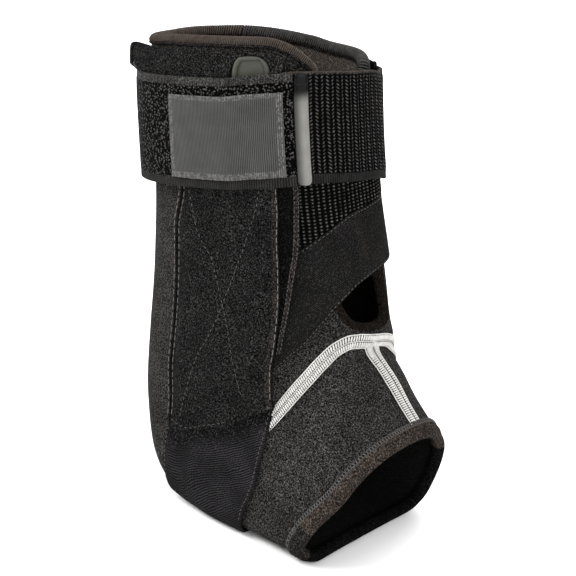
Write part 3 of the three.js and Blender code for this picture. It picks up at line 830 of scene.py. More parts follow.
def stay_plastic():
    """The stay's moulded end: smooth, slightly olive grey."""
    finish = Finish("stay_plastic", 0.5, 0.2)
    cloud = finish.noise(5, 3)
    finish.colour(cloud, (0.033, 0.034, 0.027), (0.056, 0.057, 0.046))
    finish.rough(cloud, 0.42, 0.6)
    finish.bump(finish.noise(0.5, 3), 0.03)
    return finish.material


WRAP_RIB = 4.3
ELASTIC_RIB = 2.45
WRAP_TURNS_NEAR = 398
WRAP_SELVAGES = [(3.0, 3.8), (43.2, 44.0)]


# Pieces

JERSEY = jersey()
LINING = lining("leg_lining", (0.110, 0.092, 0.078), 0.12)
# Painted shade: the foot's lining is a much darker copy of the leg's, for the little light that
# reaches inside the foot.
DEEP_LINING = lining("foot_lining", (0.026, 0.025, 0.024), 0.3)
FLEECE = fleece("panel_fleece", (0.0010, 0.0010, 0.0010), (0.044, 0.043, 0.042))
EDGE_FLEECE = fleece("edge_fleece", (0.0020, 0.0018, 0.0017), (0.062, 0.057, 0.054), 0.7, 0.35,
                     tint=(0.070, 0.052, 0.043))


# Painted shade: a near-black fleece standing for shade in recesses, grooves and undersides, in the
# pocket behind each window, on the strip ahead of each side panel and on the unlit part of the toe
# edging.
SHADE_FLEECE = fleece("painted_shade_fleece", (0.0008, 0.0008, 0.0008), (0.014, 0.0135, 0.013), 0.8, 0.4)
BROWN_FLEECE = fleece("brown_fleece", (0.007, 0.0055, 0.0045), (0.105, 0.086, 0.074), 0.85, 0.5,
                      tint=(0.110, 0.080, 0.064))


RIM_FLEECE = fleece("rim_fleece", (0.0025, 0.002, 0.0018), (0.026, 0.021, 0.017), 0.85, 0.5)
LIGHT_THREAD = thread("light_thread", (0.170, 0.166, 0.160), (0.070, 0.068, 0.066))
GREY_THREAD = thread("grey_thread", (0.115, 0.112, 0.108), (0.035, 0.034, 0.032))
BROWN_THREAD = thread("brown_thread", (0.098, 0.077, 0.063), (0.012, 0.009, 0.007))
BLACK_THREAD = thread("black_thread", (0.075, 0.073, 0.070), (0.004, 0.004, 0.004))
WHITE_THREAD = thread("white_thread", (0.72, 0.71, 0.68), (0.30, 0.29, 0.28))

LEG_ABOVE = 0.7
JOIN_SLACK = 0.004
TOE_LIT = (92, 236)
TOE_CORNER = 58
TOE_FOLD = 5.6
TOE_INSIDE = 3.5
TOE_HALF = 2.4
TOE_DEPTH = 2.6
TOE_CROWN = 0.3
PINCH = 2.6
CROWDING = 1.6


def leg_place(u, w):
    """Round the leg from edge to edge of the open front, and from the rim to the instep seam."""
    down = 1 - (1 - np.clip(w / LEG_ABOVE, 0, 1)) ** CROWDING
    at_front = mix(rim_drop(OPENING_MIDDLE), OPENING_BOTTOM, down)
    turn = mix(read(OPENING, at_front, 2), 360 + read(OPENING, at_front), u)
    above = mix(rim_drop(turn), OPENING_BOTTOM, down)
    lowest = drop_by(turn, seam_drop(turn), -CLEARANCE / 2)
    below = mix(OPENING_BOTTOM, lowest, np.clip((w - LEG_ABOVE) / (1 - LEG_ABOVE), 0, 1))
    return turn, np.where(w <= LEG_ABOVE, above, below)


def leg_sleeve():
    piece = Piece("leg_sleeve_cloth", JERSEY, LINING)
    sheet(piece, leg_place, lambda turn, drop, u, w: -SLEEVE_WALL, SLEEVE_WALL, (1.6, 1.8),
          edges=(0.8, PINCH), slots=(0, 1), joined=lambda w: (w >= LEG_ABOVE - JOIN_SLACK) * 1.0)
    piece.make("sleeve", "leg_sleeve")


def foot_sleeve():
    piece = Piece("foot_sleeve_cloth", JERSEY, DEEP_LINING)

    def place(u, w):
        turn = OPENING_MIDDLE + 360 * u
        return turn, mix(drop_by(turn, seam_drop(turn), CLEARANCE / 2), 1, w)

    sheet(piece, place, lambda turn, drop, u, w: -SLEEVE_WALL, SLEEVE_WALL, (1.6, 1.6),
          edges=(0.8, 0.8), slots=(0, 1), joined=lambda w: 1.0)
    piece.make("sleeve", "foot_sleeve")


class Edge:
    """An even line of stations along an edge, with the cloth on its right from outside."""

    def __init__(self, turn, drop, step, rounding=0):
        turn, drop = np.asarray(turn, float), np.asarray(drop, float)
        turn, drop = np.append(turn, turn[0]), np.append(drop, drop[0])
        turn = np.degrees(np.unwrap(np.radians(turn)))
        self.turn, self.drop = resampled(turn, drop, step, closed=True)
        for _ in range(rounding):
            circle = [np.roll(self.drop, shift) for shift in (-1, 0, 1)]
            self.drop = np.average(circle, axis=0, weights=(1, 2, 1))
            offset = np.roll(self.turn, -1) - self.turn
            offset = (offset + 180) % 360 - 180
            self.turn = self.turn + 0.25 * (offset - np.roll(offset, 1))
        line = surface(self.turn, self.drop)
        self.outward = normal(self.turn, self.drop)
        self.along = unit(np.roll(line, -1, axis=0) - np.roll(line, 1, axis=0))
        self.beyond = unit(np.cross(self.outward, self.along))
        self.count = len(self.turn)

    def points(self, past, height):
        """Each station's point at a distance past the edge and a height above the cloth."""
        if past >= 0:
            return lifted(self.turn, self.drop, height) + self.beyond * past
        turn, drop = slide(self.turn, self.drop, self.beyond, past)
        return lifted(turn, drop, height)

    def section(self, outline):
        return np.stack([self.points(past, height) for past, height in outline], axis=1)

    def sweep(self, piece, outline, slot_at):
        """Carries a closed outline round the edge. slot_at gives each station's material."""
        rings = self.section([*outline, outline[0]])
        ring = np.append(rings[:, 0], rings[:1, 0], axis=0)
        around = np.broadcast_to(measured(ring, 0)[:-1, None], rings.shape[:2])
        uv = np.stack([around, measured(rings, 1)], axis=-1)
        faces = grid_faces(*rings.shape[:2], closed=True)
        per_station = rings.shape[1] - 1
        station = np.repeat(np.arange(self.count), per_station)
        for slot in np.unique(slot_at):
            piece.add(rings, faces[slot_at[station] == slot], uv, slot)


def nose(width, inside, half, depth, lift=0.0):
    """The outline over an edge, from the outer border round the nose to the inner border."""
    middle, foot = -SLEEVE_WALL / 2, ON_SLEEVE + BINDING_WALL
    outline = [(-width, foot - 0.5 + lift), (-width + 0.5, foot + lift)]
    for angle in np.linspace(0, np.pi, 11):
        outline.append((NOSE_TOP - depth + (depth + lift) * np.sin(angle),
                        middle + (half + lift) * np.cos(angle)))
    return outline + [(-inside, -SLEEVE_WALL - foot - lift)]


def folded(outline):
    """Closes a fold's outline through the cloth that it hides."""
    return outline + [(outline[-1][0], -SLEEVE_WALL + 0.2), (-1.0, -SLEEVE_WALL / 2),
                      (outline[0][0], -0.2)]


def wrapped_threads(piece, edge, route, pitch, radius, slot, chosen, slant):
    """Threads that run over an edge, one for each pitch, from face to face."""
    stride = pitch / EDGE_STEP
    starts = np.arange(0, edge.count, stride)
    starts = starts[chosen[starts.astype(int) % edge.count]]
    lag = slant * stride * np.linspace(0, 1, len(route))
    paths, station = threaded(edge.section(route), starts, lag)
    tubes(piece, paths, edge.along[station[:, :1]], radius, around=5, slot=slot)


NOSE_TOP = 1.1
EDGE_STEP = 0.9
COLLAR_END = 0.1
COLLAR_BACK = (306, 30)
COLLAR_OUTSIDE = 2.8
COLLAR_HALF = 2.3
COLLAR_DEPTH = 2.6
OVERLOCK_OUTSIDE = 1.6
OVERLOCK_SHORT = 0.4
OVERLOCK_LIFT = 0.16


def collar_binding():
    """The edging of the collar and the open front, overlocked round the collar."""
    lines = np.linspace(0, 1, 240), np.linspace(0, LEG_ABOVE, 90)
    rim = leg_place(lines[0], np.zeros(240))
    near = leg_place(np.ones(90), lines[1])
    far = leg_place(np.zeros(90), lines[1])
    edge = Edge(*(np.concatenate([rim[i], near[i][1:], far[i][-2:0:-1]]) for i in (0, 1)),
                EDGE_STEP, rounding=6)
    piece = Piece("collar_edging", RIM_FLEECE, EDGE_FLEECE, BROWN_THREAD, BLACK_THREAD)
    collar = edge.drop < COLLAR_END
    outline = nose(COLLAR_OUTSIDE, COLLAR_BINDING_WIDTH, COLLAR_HALF, COLLAR_DEPTH)
    edge.sweep(piece, folded(outline), np.where(collar, 1, 0))
    route = nose(OVERLOCK_OUTSIDE, COLLAR_BINDING_WIDTH - OVERLOCK_SHORT, COLLAR_HALF,
                 COLLAR_DEPTH, OVERLOCK_LIFT)[1:]
    turned = edge.turn % 360
    near_side = collar & (turned < OPENING_MIDDLE) & (turned > COLLAR_BACK[1])
    back = (turned > COLLAR_BACK[0]) | (turned < COLLAR_BACK[1])
    for chosen, pitch, radius, slot, slant in (
        (near_side, 0.85, 0.27, 2, 1.0),
        (collar & back, 1.2, 0.3, 2, 2.2),
        (collar & ~near_side & ~back, 1.2, 0.3, 3, 1.6),
    ):
        wrapped_threads(piece, edge, route, pitch, radius, slot, chosen, slant)
    piece.make("binding", "collar_binding")


def toe_binding():
    """The folded fleece edging of the toe opening, and the overlock along its back."""
    turn = OPENING_MIDDLE - np.linspace(0, 360, 300, endpoint=False)
    edge = Edge(turn, np.ones(300), EDGE_STEP)
    piece = Piece("toe_edging", BROWN_FLEECE, GREY_THREAD, SHADE_FLEECE, EDGE_FLEECE)
    turned = edge.turn % 360
    # Painted shade round the toe edging: the brown fleece only where it is lit, the lighter edge
    # fleece as half shade at the corner before that, and near-black shade fleece on the rest.
    lit = (turned > TOE_LIT[0]) & (turned < TOE_LIT[1])
    corner = (turned > TOE_CORNER) & (turned <= TOE_LIT[0])
    outer = nose(TOE_FOLD, TOE_INSIDE, TOE_HALF, TOE_DEPTH)
    outer.insert(2, (-0.5 * TOE_FOLD, ON_SLEEVE + BINDING_WALL + TOE_CROWN))
    edge.sweep(piece, folded(outer), np.select([lit, corner], [0, 3], 2))
    zigzag(piece, edge)
    piece.make("toe_fleece", "toe_binding")


ZIGZAG_PITCH = 1.5
ZIGZAG_REACH = 2.4
ZIGZAG_LEAN = 0.45
ZIGZAG_BOW = 0.35
ZIGZAG_SEAT = 0.1
ZIGZAG_THREAD = 0.2


def zigzag(piece, edge):
    """Overlock stitches that straddle the back of the toe's folded tape."""
    share = np.linspace(0, 1, 6)
    past = -TOE_FOLD - ZIGZAG_REACH * 0.5 + ZIGZAG_REACH * share
    height = LAYER_GAP + mix(ZIGZAG_SEAT, BINDING_WALL, share) + ZIGZAG_BOW * np.sin(np.pi * share)
    section = edge.section(zip(past, height))
    stride = ZIGZAG_PITCH / EDGE_STEP
    starts = np.arange(0, edge.count, stride)
    for lean in (ZIGZAG_LEAN, -ZIGZAG_LEAN):
        paths, station = threaded(section, starts, (share - 0.5) * lean * stride * 2)
        tubes(piece, paths, edge.along[station[:, :1]], ZIGZAG_THREAD, around=5, slot=1)


def panel_place(u, w, side):
    turned = side_turn(side)
    bottom = mix(*PANEL_BOTTOM, u)
    guess = mix(PANEL_TOP, bottom, w)
    corner = 1 - np.clip(w / CORNER_SHARE, 0, 1)
    back = read(PANEL_OUTLINE, guess) + CORNER_TURN * (1 - np.sqrt(1 - corner**2))
    turn = mix(back, read(PANEL_OUTLINE, guess, 2), u)
    below_rim = COLLAR_BINDING_WIDTH + 2 * CLEARANCE - WING_RAISE * smooth(FLARE_ACROSS, 0, u)
    top = drop_by(turn, rim_drop(turned(turn)), below_rim)
    return turned(turn), mix(top, bottom, w)


def panel_under(drop, u):
    flare = PANEL_FLARE * smooth(FLARE_ACROSS, 0, u) * np.clip((FLARE_END - drop) / FLARE_SPAN, 0, 1)
    lower = smooth(*ANKLE, drop)
    return flare + mix(read(PANEL_RISE, u), read(PANEL_RISE, u, 2), lower)


BOUND_WALL = 0.7
PANEL_STRIPS = [  # edge, inwards, from and to in millimetres, thickness, material
    (0.0, 1, 0.0, 1.7, BOUND_WALL, 0),
    # This thin strip in the near-black shade fleece is painted shade in the groove beside the first
    # bound edge.
    (0.0, 1, 1.8, 3.1, 0.15, 2),
    (1.0, -1, 0.0, 3.3, BOUND_WALL, 0),
]
PANEL_LINES = [  # edge, inwards, inset and height in millimetres
    (0.0, 1, 0.9, 0.6),
    (0.0, 1, 3.6, 0.05),
    (1.0, -1, 0.5, 0.6),
]
CROSS_STITCHES = [  # places across and down the panel
    [(0.10, 0.30), (0.25, 0.385), (0.38, 0.457), (0.48, 0.576), (0.58, 0.69), (0.66, 0.79),
     (0.72, 0.90)],
    [(0.84, 0.26), (0.69, 0.39), (0.59, 0.462), (0.50, 0.55), (0.41, 0.665), (0.32, 0.795),
     (0.24, 0.903), (0.20, 0.96)],
    [(0.06, 0.975), (0.30, 0.985), (0.60, 0.99)],
]
PANEL_LINE_ENDS = (0.06, 0.985)
STRIP_SUNK = 0.1
THREAD_SEAT = 0.02


def side_panel(side):
    """The outer panel, with its window, its bound edges and its stitches."""
    def place(u, w):
        return panel_place(u, w, side)

    def across(u):
        return u if side == "near" else 1 - u

    piece = Piece(f"side_panel_{side}_cloth", FLEECE, SHADE_FLEECE)
    sheet(piece, facing(place, side), lambda turn, drop, u, w: panel_under(drop, across(u)),
          PANEL_WALL, (1.3, 1.3), edges=(0.7, 0.7), slots=(0, 1))
    cut_window(piece.make("fleece", f"side_panel_{side}"), side)

    trim = Piece(f"side_panel_{side}_edges", EDGE_FLEECE, LIGHT_THREAD, SHADE_FLEECE)
    width = panel_width(side)
    for start, inward, outer, inner, wall, slot in PANEL_STRIPS:
        def share_of(u, w, start=start, inward=inward, outer=outer, inner=inner):
            length = mix(outer, inner, across(u) if inward > 0 else 1 - across(u))
            return start + inward * length / width(w)

        def strip(u, w, share_of=share_of):
            return place(share_of(u, w), w)

        def strip_under(turn, drop, u, w, share_of=share_of):
            return panel_under(drop, share_of(u, w)) + PANEL_WALL - STRIP_SUNK

        sheet(trim, strip, strip_under, wall, (0.4, 1.3), edges=(0.5, 0.5), slots=(slot, slot))
    line = np.linspace(*PANEL_LINE_ENDS, 300)
    for start, inward, inset, raised in PANEL_LINES:
        share = start + inward * inset / width(line)
        turn, drop = place(share, line)
        height = panel_under(drop, share) + PANEL_WALL + raised
        thread_line(trim, turn, drop, height, 1, 3.0, 0.5, 0.17)
    trim.make("fleece")

    sewn = Piece(f"side_panel_{side}_stitches", GREY_THREAD)
    for arm in CROSS_STITCHES:
        corners = np.linspace(0, 1, len(arm))
        share, down = (np.interp(np.linspace(0, 1, 200), corners, along) for along in zip(*arm))
        turn, drop = place(share, down)
        height = panel_under(drop, share) + PANEL_WALL + THREAD_SEAT
        thread_line(sewn, turn, drop, height, 0, 1.7, 1.1, 0.13)
    sewn.make("binding")


def panel_width(side):
    """The panel's width in millimetres at a place down it."""
    downs = np.linspace(0, 1, 40)
    u, w = np.meshgrid(np.linspace(0, 1, 30), downs, indexing="ij")
    widths = measured(surface(*panel_place(u, w, side)), 0)[-1]
    return lambda w: np.interp(w, downs, widths)


def window_place(u, w, side):
    turned = side_turn(side)
    top = drop_by(WINDOW_TURN, rim_drop(turned(WINDOW_TURN)), WINDOW_FROM_RIM)
    width = WINDOW_WIDTH * arched(2 * w) * (u - 0.5)
    return turned(turn_by(WINDOW_TURN, top, width)), drop_by(WINDOW_TURN, top, WINDOW_HEIGHT * w)


def window_outline(side, count=40, inset=0.0, start=0.0):
    """A line inside the window's edge, from one foot over the arch to the other."""
    down = (1 - np.cos(np.linspace(0, np.pi, count))) / 2 * (1 - start) + start
    first = window_place(np.full(count, inset), down, side)
    second = window_place(np.full(count, 1 - inset), down, side)
    return tuple(np.concatenate([first[i][::-1], second[i][1:]]) for i in (0, 1))


CUT_FROM = 0.3
CUT_TO = ON_PANEL_EDGE + PANEL_WALL + 3


def cut_window(body, side):
    """Cuts the arched window through the panel."""
    turn, drop = window_outline(side)
    low, high = lifted(turn, drop, CUT_FROM), lifted(turn, drop, CUT_TO)
    count = len(turn)
    points = np.concatenate([low, high]) * MM
    faces = [[i, i + 1, count + i + 1, count + i] for i in range(count - 1)]
    faces += [[count - 1, 0, count, 2 * count - 1]]
    faces += [list(range(count))[::-1], list(range(count, 2 * count))]
    mesh = bpy.data.meshes.new("window_tool")
    mesh.from_pydata(points.tolist(), [], faces)
    work = bmesh.new()
    work.from_mesh(mesh)
    bmesh.ops.triangulate(work, faces=work.faces)
    bmesh.ops.recalc_face_normals(work, faces=work.faces)
    work.to_mesh(mesh)
    work.free()
    tool = placed("window_tool", mesh)
    cut = body.modifiers.new("window", "BOOLEAN")
    cut.operation, cut.object, cut.solver = "DIFFERENCE", tool, "EXACT"
    cut.material_mode = "INDEX"
    bpy.context.view_layer.update()
    done = bpy.data.meshes.new_from_object(
        body.evaluated_get(bpy.context.evaluated_depsgraph_get()))
    body.modifiers.clear()
    old, body.data = body.data, done
    bpy.data.meshes.remove(old)
    bpy.data.objects.remove(tool)
    bpy.data.meshes.remove(mesh)


WINDOW_STEP = 0.6
WINDOW_ROLL = 0.6
WINDOW_SEAT = 0.55
POCKET_SEAT = 0.05
POCKET_WALL = 0.3


def window_rim(side):
    """The rolled edge of the window, and a sheet in the pocket behind it, both in painted shade."""
    turn, drop = resampled(*window_outline(side), WINDOW_STEP)
    back, front = read(PANEL_OUTLINE, drop), read(PANEL_OUTLINE, drop, 2)
    share = (side_turn(side)(turn) - back) / (front - back)
    height = panel_under(drop, np.clip(share, 0, 1)) + PANEL_WALL * WINDOW_SEAT
    piece = Piece(f"window_rim_{side}", SHADE_FLEECE)
    tubes(piece, lifted(turn, drop, height)[None], normal(turn, drop)[None], WINDOW_ROLL, around=8)
    # A sheet of painted shade: near-black fleece laid in the pocket under the window.
    sheet(piece, facing(lambda u, w: window_place(u, w, side), side),
          lambda turn, drop, u, w: POCKET_SEAT, POCKET_WALL, (1.0, 1.0), edges=(0.2, 0.2))
    piece.make("fleece")


LIP_INSET = 1.9
LIP_RADIUS = 1.2
LIP_START = 0.1
LIP_SEAT = 0.1
STAY_TIP = 0.3
STAY_LIFT = 1.4
STAY_LIFTED = (0.06, 0.11)


def stay(side):
    """The stay, whose moulded end shows in the window inside a raised lip."""
    turned = side_turn(side)
    top = drop_by(WINDOW_TURN, rim_drop(turned(WINDOW_TURN)), WINDOW_FROM_RIM - STAY_ABOVE_WINDOW)
    middle = np.array(STAY_MIDDLE)
    length = norm(across_drop(read(STAY_LINE, middle), middle)) * (STAY_BOTTOM - top)

    def place(u, w):
        drop = mix(top, STAY_BOTTOM, w)
        from_end = np.minimum(w, 1 - w) * length / (0.5 * STAY_WIDTH)
        width = STAY_WIDTH * np.maximum(arched(from_end), STAY_TIP)
        return turned(turn_by(read(STAY_LINE, drop), drop, width * (u - 0.5))), drop

    def under(drop):
        return ON_SLEEVE + STAY_LIFT * (1 - smooth(*STAY_LIFTED, drop))

    piece = Piece(f"stay_{side}_strip", stay_plastic())
    sheet(piece, facing(place, side), lambda turn, drop, u, w: under(drop), STAY_WALL, (0.7, 1.0),
          edges=(0.8, 0.8))
    lip = window_outline(side, 60, LIP_INSET / WINDOW_WIDTH, LIP_START)
    turn, drop = resampled(*lip, WINDOW_STEP)
    points = lifted(turn, drop, under(drop) + STAY_WALL + LIP_SEAT)
    tubes(piece, points[None], normal(turn, drop)[None], LIP_RADIUS, around=12)
    piece.make("stay", f"stay_{side}")


BORDER_WIDTH = 2.4
BORDER_WALL = 0.65
BORDER_SUNK = 0.15
BORDER_LINES = (0.45, 2.0)
BORDER_LINE_SEAT = 0.42


def under_panel(side):
    """The strip ahead of the side panel, near-black as painted shade, and its bound front edge."""
    turned = side_turn(side)

    def place(u, w):
        drop = mix(*UNDER_PANEL_ENDS, w)
        return turned(mix(mix(*UNDER_PANEL_BACK, w), read(UNDER_PANEL_FRONT, drop), u)), drop

    def from_edge(drop, inset):
        return turned(turn_by(read(UNDER_PANEL_FRONT, drop), drop, -inset))

    def border(u, w):
        drop = mix(*UNDER_PANEL_ENDS, w)
        return from_edge(drop, BORDER_WIDTH * (1 - u)), drop

    face = ON_ELASTIC + UNDER_PANEL_WALL
    piece = Piece(f"under_panel_{side}_cloth", SHADE_FLEECE, EDGE_FLEECE, GREY_THREAD)
    # Painted shade: the strip is near-black shade fleece, for the shadow ahead of the side panel's
    # edge.
    sheet(piece, facing(place, side), lambda turn, drop, u, w: ON_ELASTIC, UNDER_PANEL_WALL,
          (0.9, 1.3), edges=(0.5, 0.5))
    sheet(piece, facing(border, side), lambda turn, drop, u, w: face - BORDER_SUNK, BORDER_WALL,
          (0.4, 1.3), edges=(0.8, 0.5), slots=(1, 1))
    drop = np.linspace(*UNDER_PANEL_ENDS, 200)
    for inset in BORDER_LINES:
        height = np.full(200, face + BORDER_LINE_SEAT)
        thread_line(piece, from_edge(drop, inset), drop, height, 2, 1.4, 0.7, 0.15)
    piece.make("fleece", f"under_panel_{side}")


TUCKED_UNDER = 0.006
TUCK_SHARE = 0.08
TUCK_DEPTH = 0.5
FOLD_HEIGHT = 0.75
FOLD_END = 0.45
HEEL_LINES = (0.03, 0.97)
HEEL_LINES_ABOVE = 8


def heel_strap():
    """The ribbed strap under the heel, with soft folds where it is drawn in."""
    piece = Piece("heel_strap_knit", heel_knit(), SHADE_FLEECE, GREY_THREAD)

    def place(u, w):
        share = 1 - np.abs(1 - 2 * u)
        turn = mix(read(HEEL_STRAP, share), read(HEEL_STRAP, share, 3), w)
        drop = mix(read(HEEL_STRAP, share, 2), read(HEEL_STRAP, share, 4), w)
        drop = drop - TUCKED_UNDER * (1 - smooth(0, TUCK_SHARE, share))
        return np.where(u > 0.5, 360 - turn, turn), drop

    def under(u, w):
        share = 1 - np.abs(1 - 2 * u)
        folds = np.sin(w * 17 + share * 6) * np.sin(np.pi * np.clip(w, 0, 1)) ** 2
        fading = np.sin(np.pi * np.clip(share / FOLD_END, 0, 1)) ** 2
        sunk = TUCK_DEPTH * (1 - smooth(0, TUCK_SHARE, share))
        return ON_SLEEVE - sunk + FOLD_HEIGHT * folds * fading

    sheet(piece, lambda u, w: place(w, u), lambda turn, drop, u, w: under(w, u),
          HEEL_STRAP_WALL, (1.0, 1.2), edges=(0.8, 0.1), slots=(0, 1))
    line = np.linspace(0.0, 1.0, 500)
    for inset in HEEL_LINES:
        turn, drop = place(line, np.full(500, inset))
        turn = np.where(turn > 180, turn - 360, turn)
        height = under(line, np.full(500, inset)) + HEEL_STRAP_WALL + THREAD_SEAT
        keep = surface(turn, drop)[:, 2] > HEEL_LINES_ABOVE
        for half in (line < 0.5, line > 0.5):
            chosen = keep & half
            thread_line(piece, turn[chosen], drop[chosen], height[chosen], 2, 1.4, 0.8, 0.14)
    piece.make("rib", "heel_strap")


def front_rise(turn):
    return read(FRONT_RISE, turn)


def diagonal_strap():
    """The strap across the instep, with a line of stitches along each edge."""
    piece = Piece("diagonal_strap_knit", strap_knit(), SHADE_FLEECE, GREY_THREAD)

    def place(u, w):
        turn = mix(*FRONT_ENDS, u)
        return turn, mix(read(DIAGONAL, turn), read(DIAGONAL, turn, 2), w)

    sheet(piece, place, lambda turn, drop, u, w: front_rise(turn), ELASTIC_WALL, (1.1, 1.0),
          edges=(0.3, 0.6), slots=(0, 1))
    turn = np.linspace(*FRONT_ENDS, 300)
    for column, inset in ((1, 1.0), (2, -1.0)):
        drop = drop_by(turn, read(DIAGONAL, turn, column), inset)
        thread_line(piece, turn, drop, front_rise(turn) + ELASTIC_WALL + 0.03, 2, 1.3, 0.6, 0.14)
    piece.make("fleece", "diagonal_strap")


COLUMN_RELIEF = 0.3


def front_elastic():
    """The ribbed elastic between the diagonal strap and the wrap."""
    piece = Piece("front_elastic_knit", elastic_knit(), SHADE_FLEECE)

    def place(u, w):
        turn = mix(*FRONT_ENDS, u)
        return turn, mix(ELASTIC_TOP, drop_by(turn, read(DIAGONAL, turn), -CLEARANCE), w)

    def columns(u, v):
        return COLUMN_RELIEF * np.cos(2 * np.pi * u / ELASTIC_RIB - np.pi)

    sheet(piece, place, lambda turn, drop, u, w: front_rise(turn), ELASTIC_WALL, (0.5, 1.2),
          edges=(0.3, 0.4), slots=(0, 1), relief=columns)
    piece.make("rib", "front_elastic")


def wrap_place(u, w):
    turn = mix(*WRAP_ENDS, u)
    return turn, drop_by(turn, wrap_top(turn), WRAP_WIDTH * w)


def wrap_under(turn):
    return read(WRAP_RISE, turn)


RIB_RELIEF = 0.3
LOOSE_RELIEF = 0.12


def wrap_strap():
    """The ribbed strap round the top, its second end lapped over its first."""
    turns = np.linspace(*WRAP_ENDS, 400)
    line = surface(turns, drop_by(turns, wrap_top(turns), WRAP_WIDTH / 2))
    near_from = np.interp(WRAP_TURNS_NEAR, turns, measured(line, 0))
    piece = Piece("wrap_strap_knit", wrap_knit(near_from), SHADE_FLEECE)

    def ribs(u, v):
        rib = np.cos(2 * np.pi * u / WRAP_RIB) * -RIB_RELIEF
        body = smooth(*WRAP_SELVAGES[0], v) * (1 - smooth(*WRAP_SELVAGES[1], v))
        second = smooth(near_from - 3, near_from + 3, u)
        loose = LOOSE_RELIEF * np.sin(u * 2.1 + np.sin(v * 0.9) * 2) * np.sin(v * 1.9 + u * 0.3)
        return mix(rib, loose, second) * body

    sheet(piece, wrap_place, lambda turn, drop, u, w: wrap_under(turn), WRAP_WALL, (0.6, 0.95),
          edges=(0.8, 0.8), slots=(0, 1), relief=ribs)
    piece.make("rib", "wrap_strap")


LABEL_SEAM = (0.026, 0.04)
LABEL_THREAD_SEAT = 0.05


def strap_label():
    """The bare label, stitched round its border."""
    def place(u, w):
        turn = turn_by(LABEL_START, LABEL_DROP, LABEL_WIDTH * u)
        return turn, drop_by(turn, wrap_top(turn), LABEL_FROM_TOP + LABEL_HEIGHT * w)

    line = np.linspace(0, 1, 50)
    width = measured(surface(*place(line, np.full(50, 0.5))), 0)[-1]
    piece = Piece("strap_label_satin", satin(width, LABEL_HEIGHT), GREY_THREAD)

    def under(turn):
        return wrap_under(turn) + WRAP_WALL + LAYER_GAP

    sheet(piece, place, lambda turn, drop, u, w: under(turn), LABEL_WALL, (0.9, 0.9),
          edges=(0.5, 0.5))
    left, high = LABEL_SEAM
    corners = [(left, high), (1 - left, high), (1 - left, 1 - high), (left, 1 - high)]
    line = np.linspace(0, 1, 120)
    for start, end in zip(corners, corners[1:] + corners[:1]):
        turn, drop = place(mix(start[0], end[0], line), mix(start[1], end[1], line))
        height = under(turn) + LABEL_WALL + LABEL_THREAD_SEAT
        thread_line(piece, turn, drop, height, 1, 1.1, 0.5, 0.14)
    piece.make("satin", "strap_label")


TAB_END = 0.4


def strap_tab():
    """The moulded tab on the strap's end."""
    piece = Piece("strap_tab_moulded", tab_plastic())

    def place(u, w):
        arch = mix(TAB_END, 1, arched(np.minimum(w, 1 - w) * WRAP_WIDTH / (0.5 * TAB_WIDTH)))
        middle = turn_by(WRAP_ENDS[1], LABEL_DROP, 0.5 * TAB_WIDTH + CLEARANCE)
        turn = turn_by(middle, LABEL_DROP, TAB_WIDTH * arch * (u - 0.5))
        return turn, drop_by(turn, wrap_top(turn), WRAP_WIDTH * w)

    def under(turn):
        return wrap_under(turn - 360) + WRAP_WALL + LAYER_GAP

    sheet(piece, place, lambda turn, drop, u, w: under(turn), TAB_WALL, (0.5, 0.9),
          edges=(1.2, 1.2))
    piece.make("tab", "strap_tab")


SEAM_STEP = 0.25
SEAM_PITCH = 1.1
SEAM_SLANT = 2.1
SEAM_THREAD = 0.42
SEAM_BORDER = 0.3
SEAM_BORDER_SUNK = 0.15


def flatlock(piece, turn, drop, width):
    """A flat seam: two rows of slanting threads, with a cord down their middle and each side."""
    turn, drop = resampled(turn, drop, SEAM_STEP)
    across = np.linspace(-0.5, 0.5, 9)
    dome = 0.75 - 0.45 * abs(2 * across) ** 3 - 0.22 * np.exp(-(across / 0.09) ** 2)
    along = unit(np.gradient(surface(turn, drop), axis=0))
    outward = normal(turn, drop)
    sideways = np.cross(outward, along)
    rails = np.stack([lifted(*slide(turn, drop, sideways, width * share), ON_SLEEVE + raised)
                      for share, raised in zip(across, dome)], axis=1)
    lag = SEAM_SLANT / SEAM_STEP * (across + 0.5)
    starts = np.arange(0, len(turn) - int(SEAM_SLANT / SEAM_STEP) - 1, SEAM_PITCH / SEAM_STEP)
    for row in (slice(0, 5), slice(4, 9)):
        paths, station = threaded(rails[:, row], starts, lag[row], closed=False)
        tubes(piece, paths, along[station], SEAM_THREAD)
    for column in (0, 4, 8):
        cord = rails[None, :, column] - SEAM_BORDER_SUNK * outward[None]
        tubes(piece, cord, sideways[None], SEAM_BORDER)


def seams():
    """The pale flat seams over the instep and down to the toes."""
    instep = Piece("instep_seam_threads", WHITE_THREAD)
    turn = np.linspace(SEAM_END, 360 - SEAM_END, 300)
    flatlock(instep, turn, seam_drop(turn), SEAM_WIDTH)
    instep.make("thread", "instep_seam")
    toes = Piece("toe_seam_threads", WHITE_THREAD)
    high_turn, low_turn = TOE_SEAM_TURNS
    top = drop_by(high_turn, seam_drop(high_turn), 0.5 * SEAM_WIDTH + TOE_SEAM_GAP)
    bottom = drop_by(low_turn, 1.0, -TOE_FOLD)
    share = np.linspace(0, 1, 100)
    flatlock(toes, mix(*TOE_SEAM_TURNS, share), mix(top, bottom, share), TOE_SEAM_WIDTH)
    toes.make("thread", "toe_seam")


leg_sleeve()
foot_sleeve()
collar_binding()
toe_binding()
for side in ("near", "far"):
    side_panel(side)
    window_rim(side)
    stay(side)
    under_panel(side)


heel_strap()
diagonal_strap()
front_elastic()
wrap_strap()
strap_label()
strap_tab()
seams()


# Stage


FLOOR_REACH = 12
CENTRE = Vector((0.0, 0.0, 0.11))
LAMPS = [  # name, place in metres, size in metres, watts
    ("key", (-0.55, -0.75, 0.95), 0.6, 14),
    ("front", (0.95, -0.55, 0.6), 0.8, 10),
    ("top", (0.1, 0.2, 1.3), 0.8, 10),
    ("back", (-0.3, 1.0, 0.6), 0.9, 8),
    ("left", (-1.1, -0.35, 0.55), 0.7, 7),
]


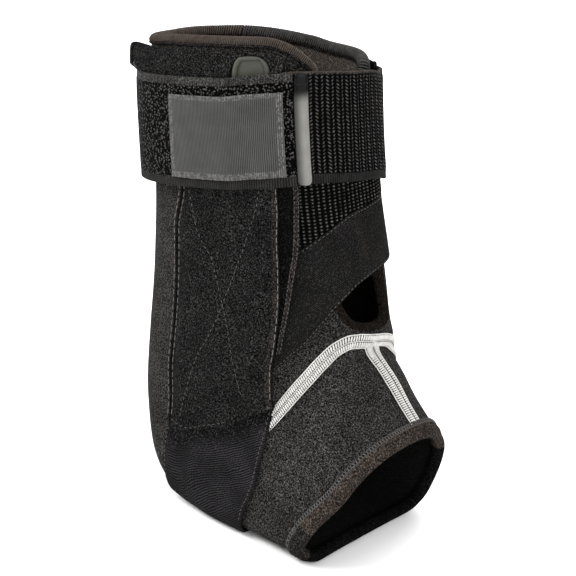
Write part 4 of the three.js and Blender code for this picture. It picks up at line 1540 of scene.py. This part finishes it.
def floor():
    mesh = bpy.data.meshes.new("floor")
    corners = [(-1, -1), (1, -1), (1, 1), (-1, 1)]
    mesh.from_pydata([(x * FLOOR_REACH, y * FLOOR_REACH, 0) for x, y in corners], [],
                     [(0, 1, 2, 3)])
    material = bpy.data.materials.new("floor")
    material.use_nodes = True
    shader = material.node_tree.nodes["Principled BSDF"]
    shader.inputs["Base Color"].default_value = (0.92, 0.92, 0.92, 1)
    shader.inputs["Roughness"].default_value = 0.9
    mesh.materials.append(material)
    placed("floor", mesh)


def lights():
    world = bpy.data.worlds.new("studio")
    bpy.context.scene.world = world
    world.use_nodes = True
    background = world.node_tree.nodes["Background"]
    background.inputs["Color"].default_value = (1, 1, 1, 1)
    background.inputs["Strength"].default_value = 0.75
    for name, place, size, power in LAMPS:
        data = bpy.data.lights.new(name, "AREA")
        data.size, data.energy = size, power
        lamp = placed(name, data)
        lamp.location = place
        lamp.rotation_euler = (CENTRE - lamp.location).to_track_quat("-Z", "Y").to_euler()


CAMERA_ANGLES = (35, 22, 6.5)  # to the toes, down, leaning
CAMERA_TARGET = Vector((0.028, -0.026, 0.115))
CAMERA_DISTANCE = 1.0
IMAGE_WIDTH = 576
FOCAL_PIXELS = 2350


def camera():
    """The photo's view, from the near side turned to the toes."""
    turn, tilt, lean = (math.radians(angle) for angle in CAMERA_ANGLES)
    back = Vector((math.sin(turn) * math.cos(tilt), -math.cos(turn) * math.cos(tilt),
                   math.sin(tilt)))
    right = Vector((math.cos(turn), math.sin(turn), 0))
    up = back.cross(right)
    leaned_right = right * math.cos(lean) + up * math.sin(lean)
    leaned_up = up * math.cos(lean) - right * math.sin(lean)
    data = bpy.data.cameras.new("camera")
    data.sensor_width = 36
    data.lens = data.sensor_width * FOCAL_PIXELS / IMAGE_WIDTH
    data.clip_start, data.clip_end = 0.05, 50
    lens = placed("camera", data)
    turned = Matrix((leaned_right, leaned_up, back)).transposed().to_4x4()
    lens.matrix_world = Matrix.Translation(CAMERA_TARGET + back * CAMERA_DISTANCE) @ turned
    bpy.context.scene.camera = lens


floor()
lights()
camera()
bpy.context.scene.view_settings.view_transform = "Standard"
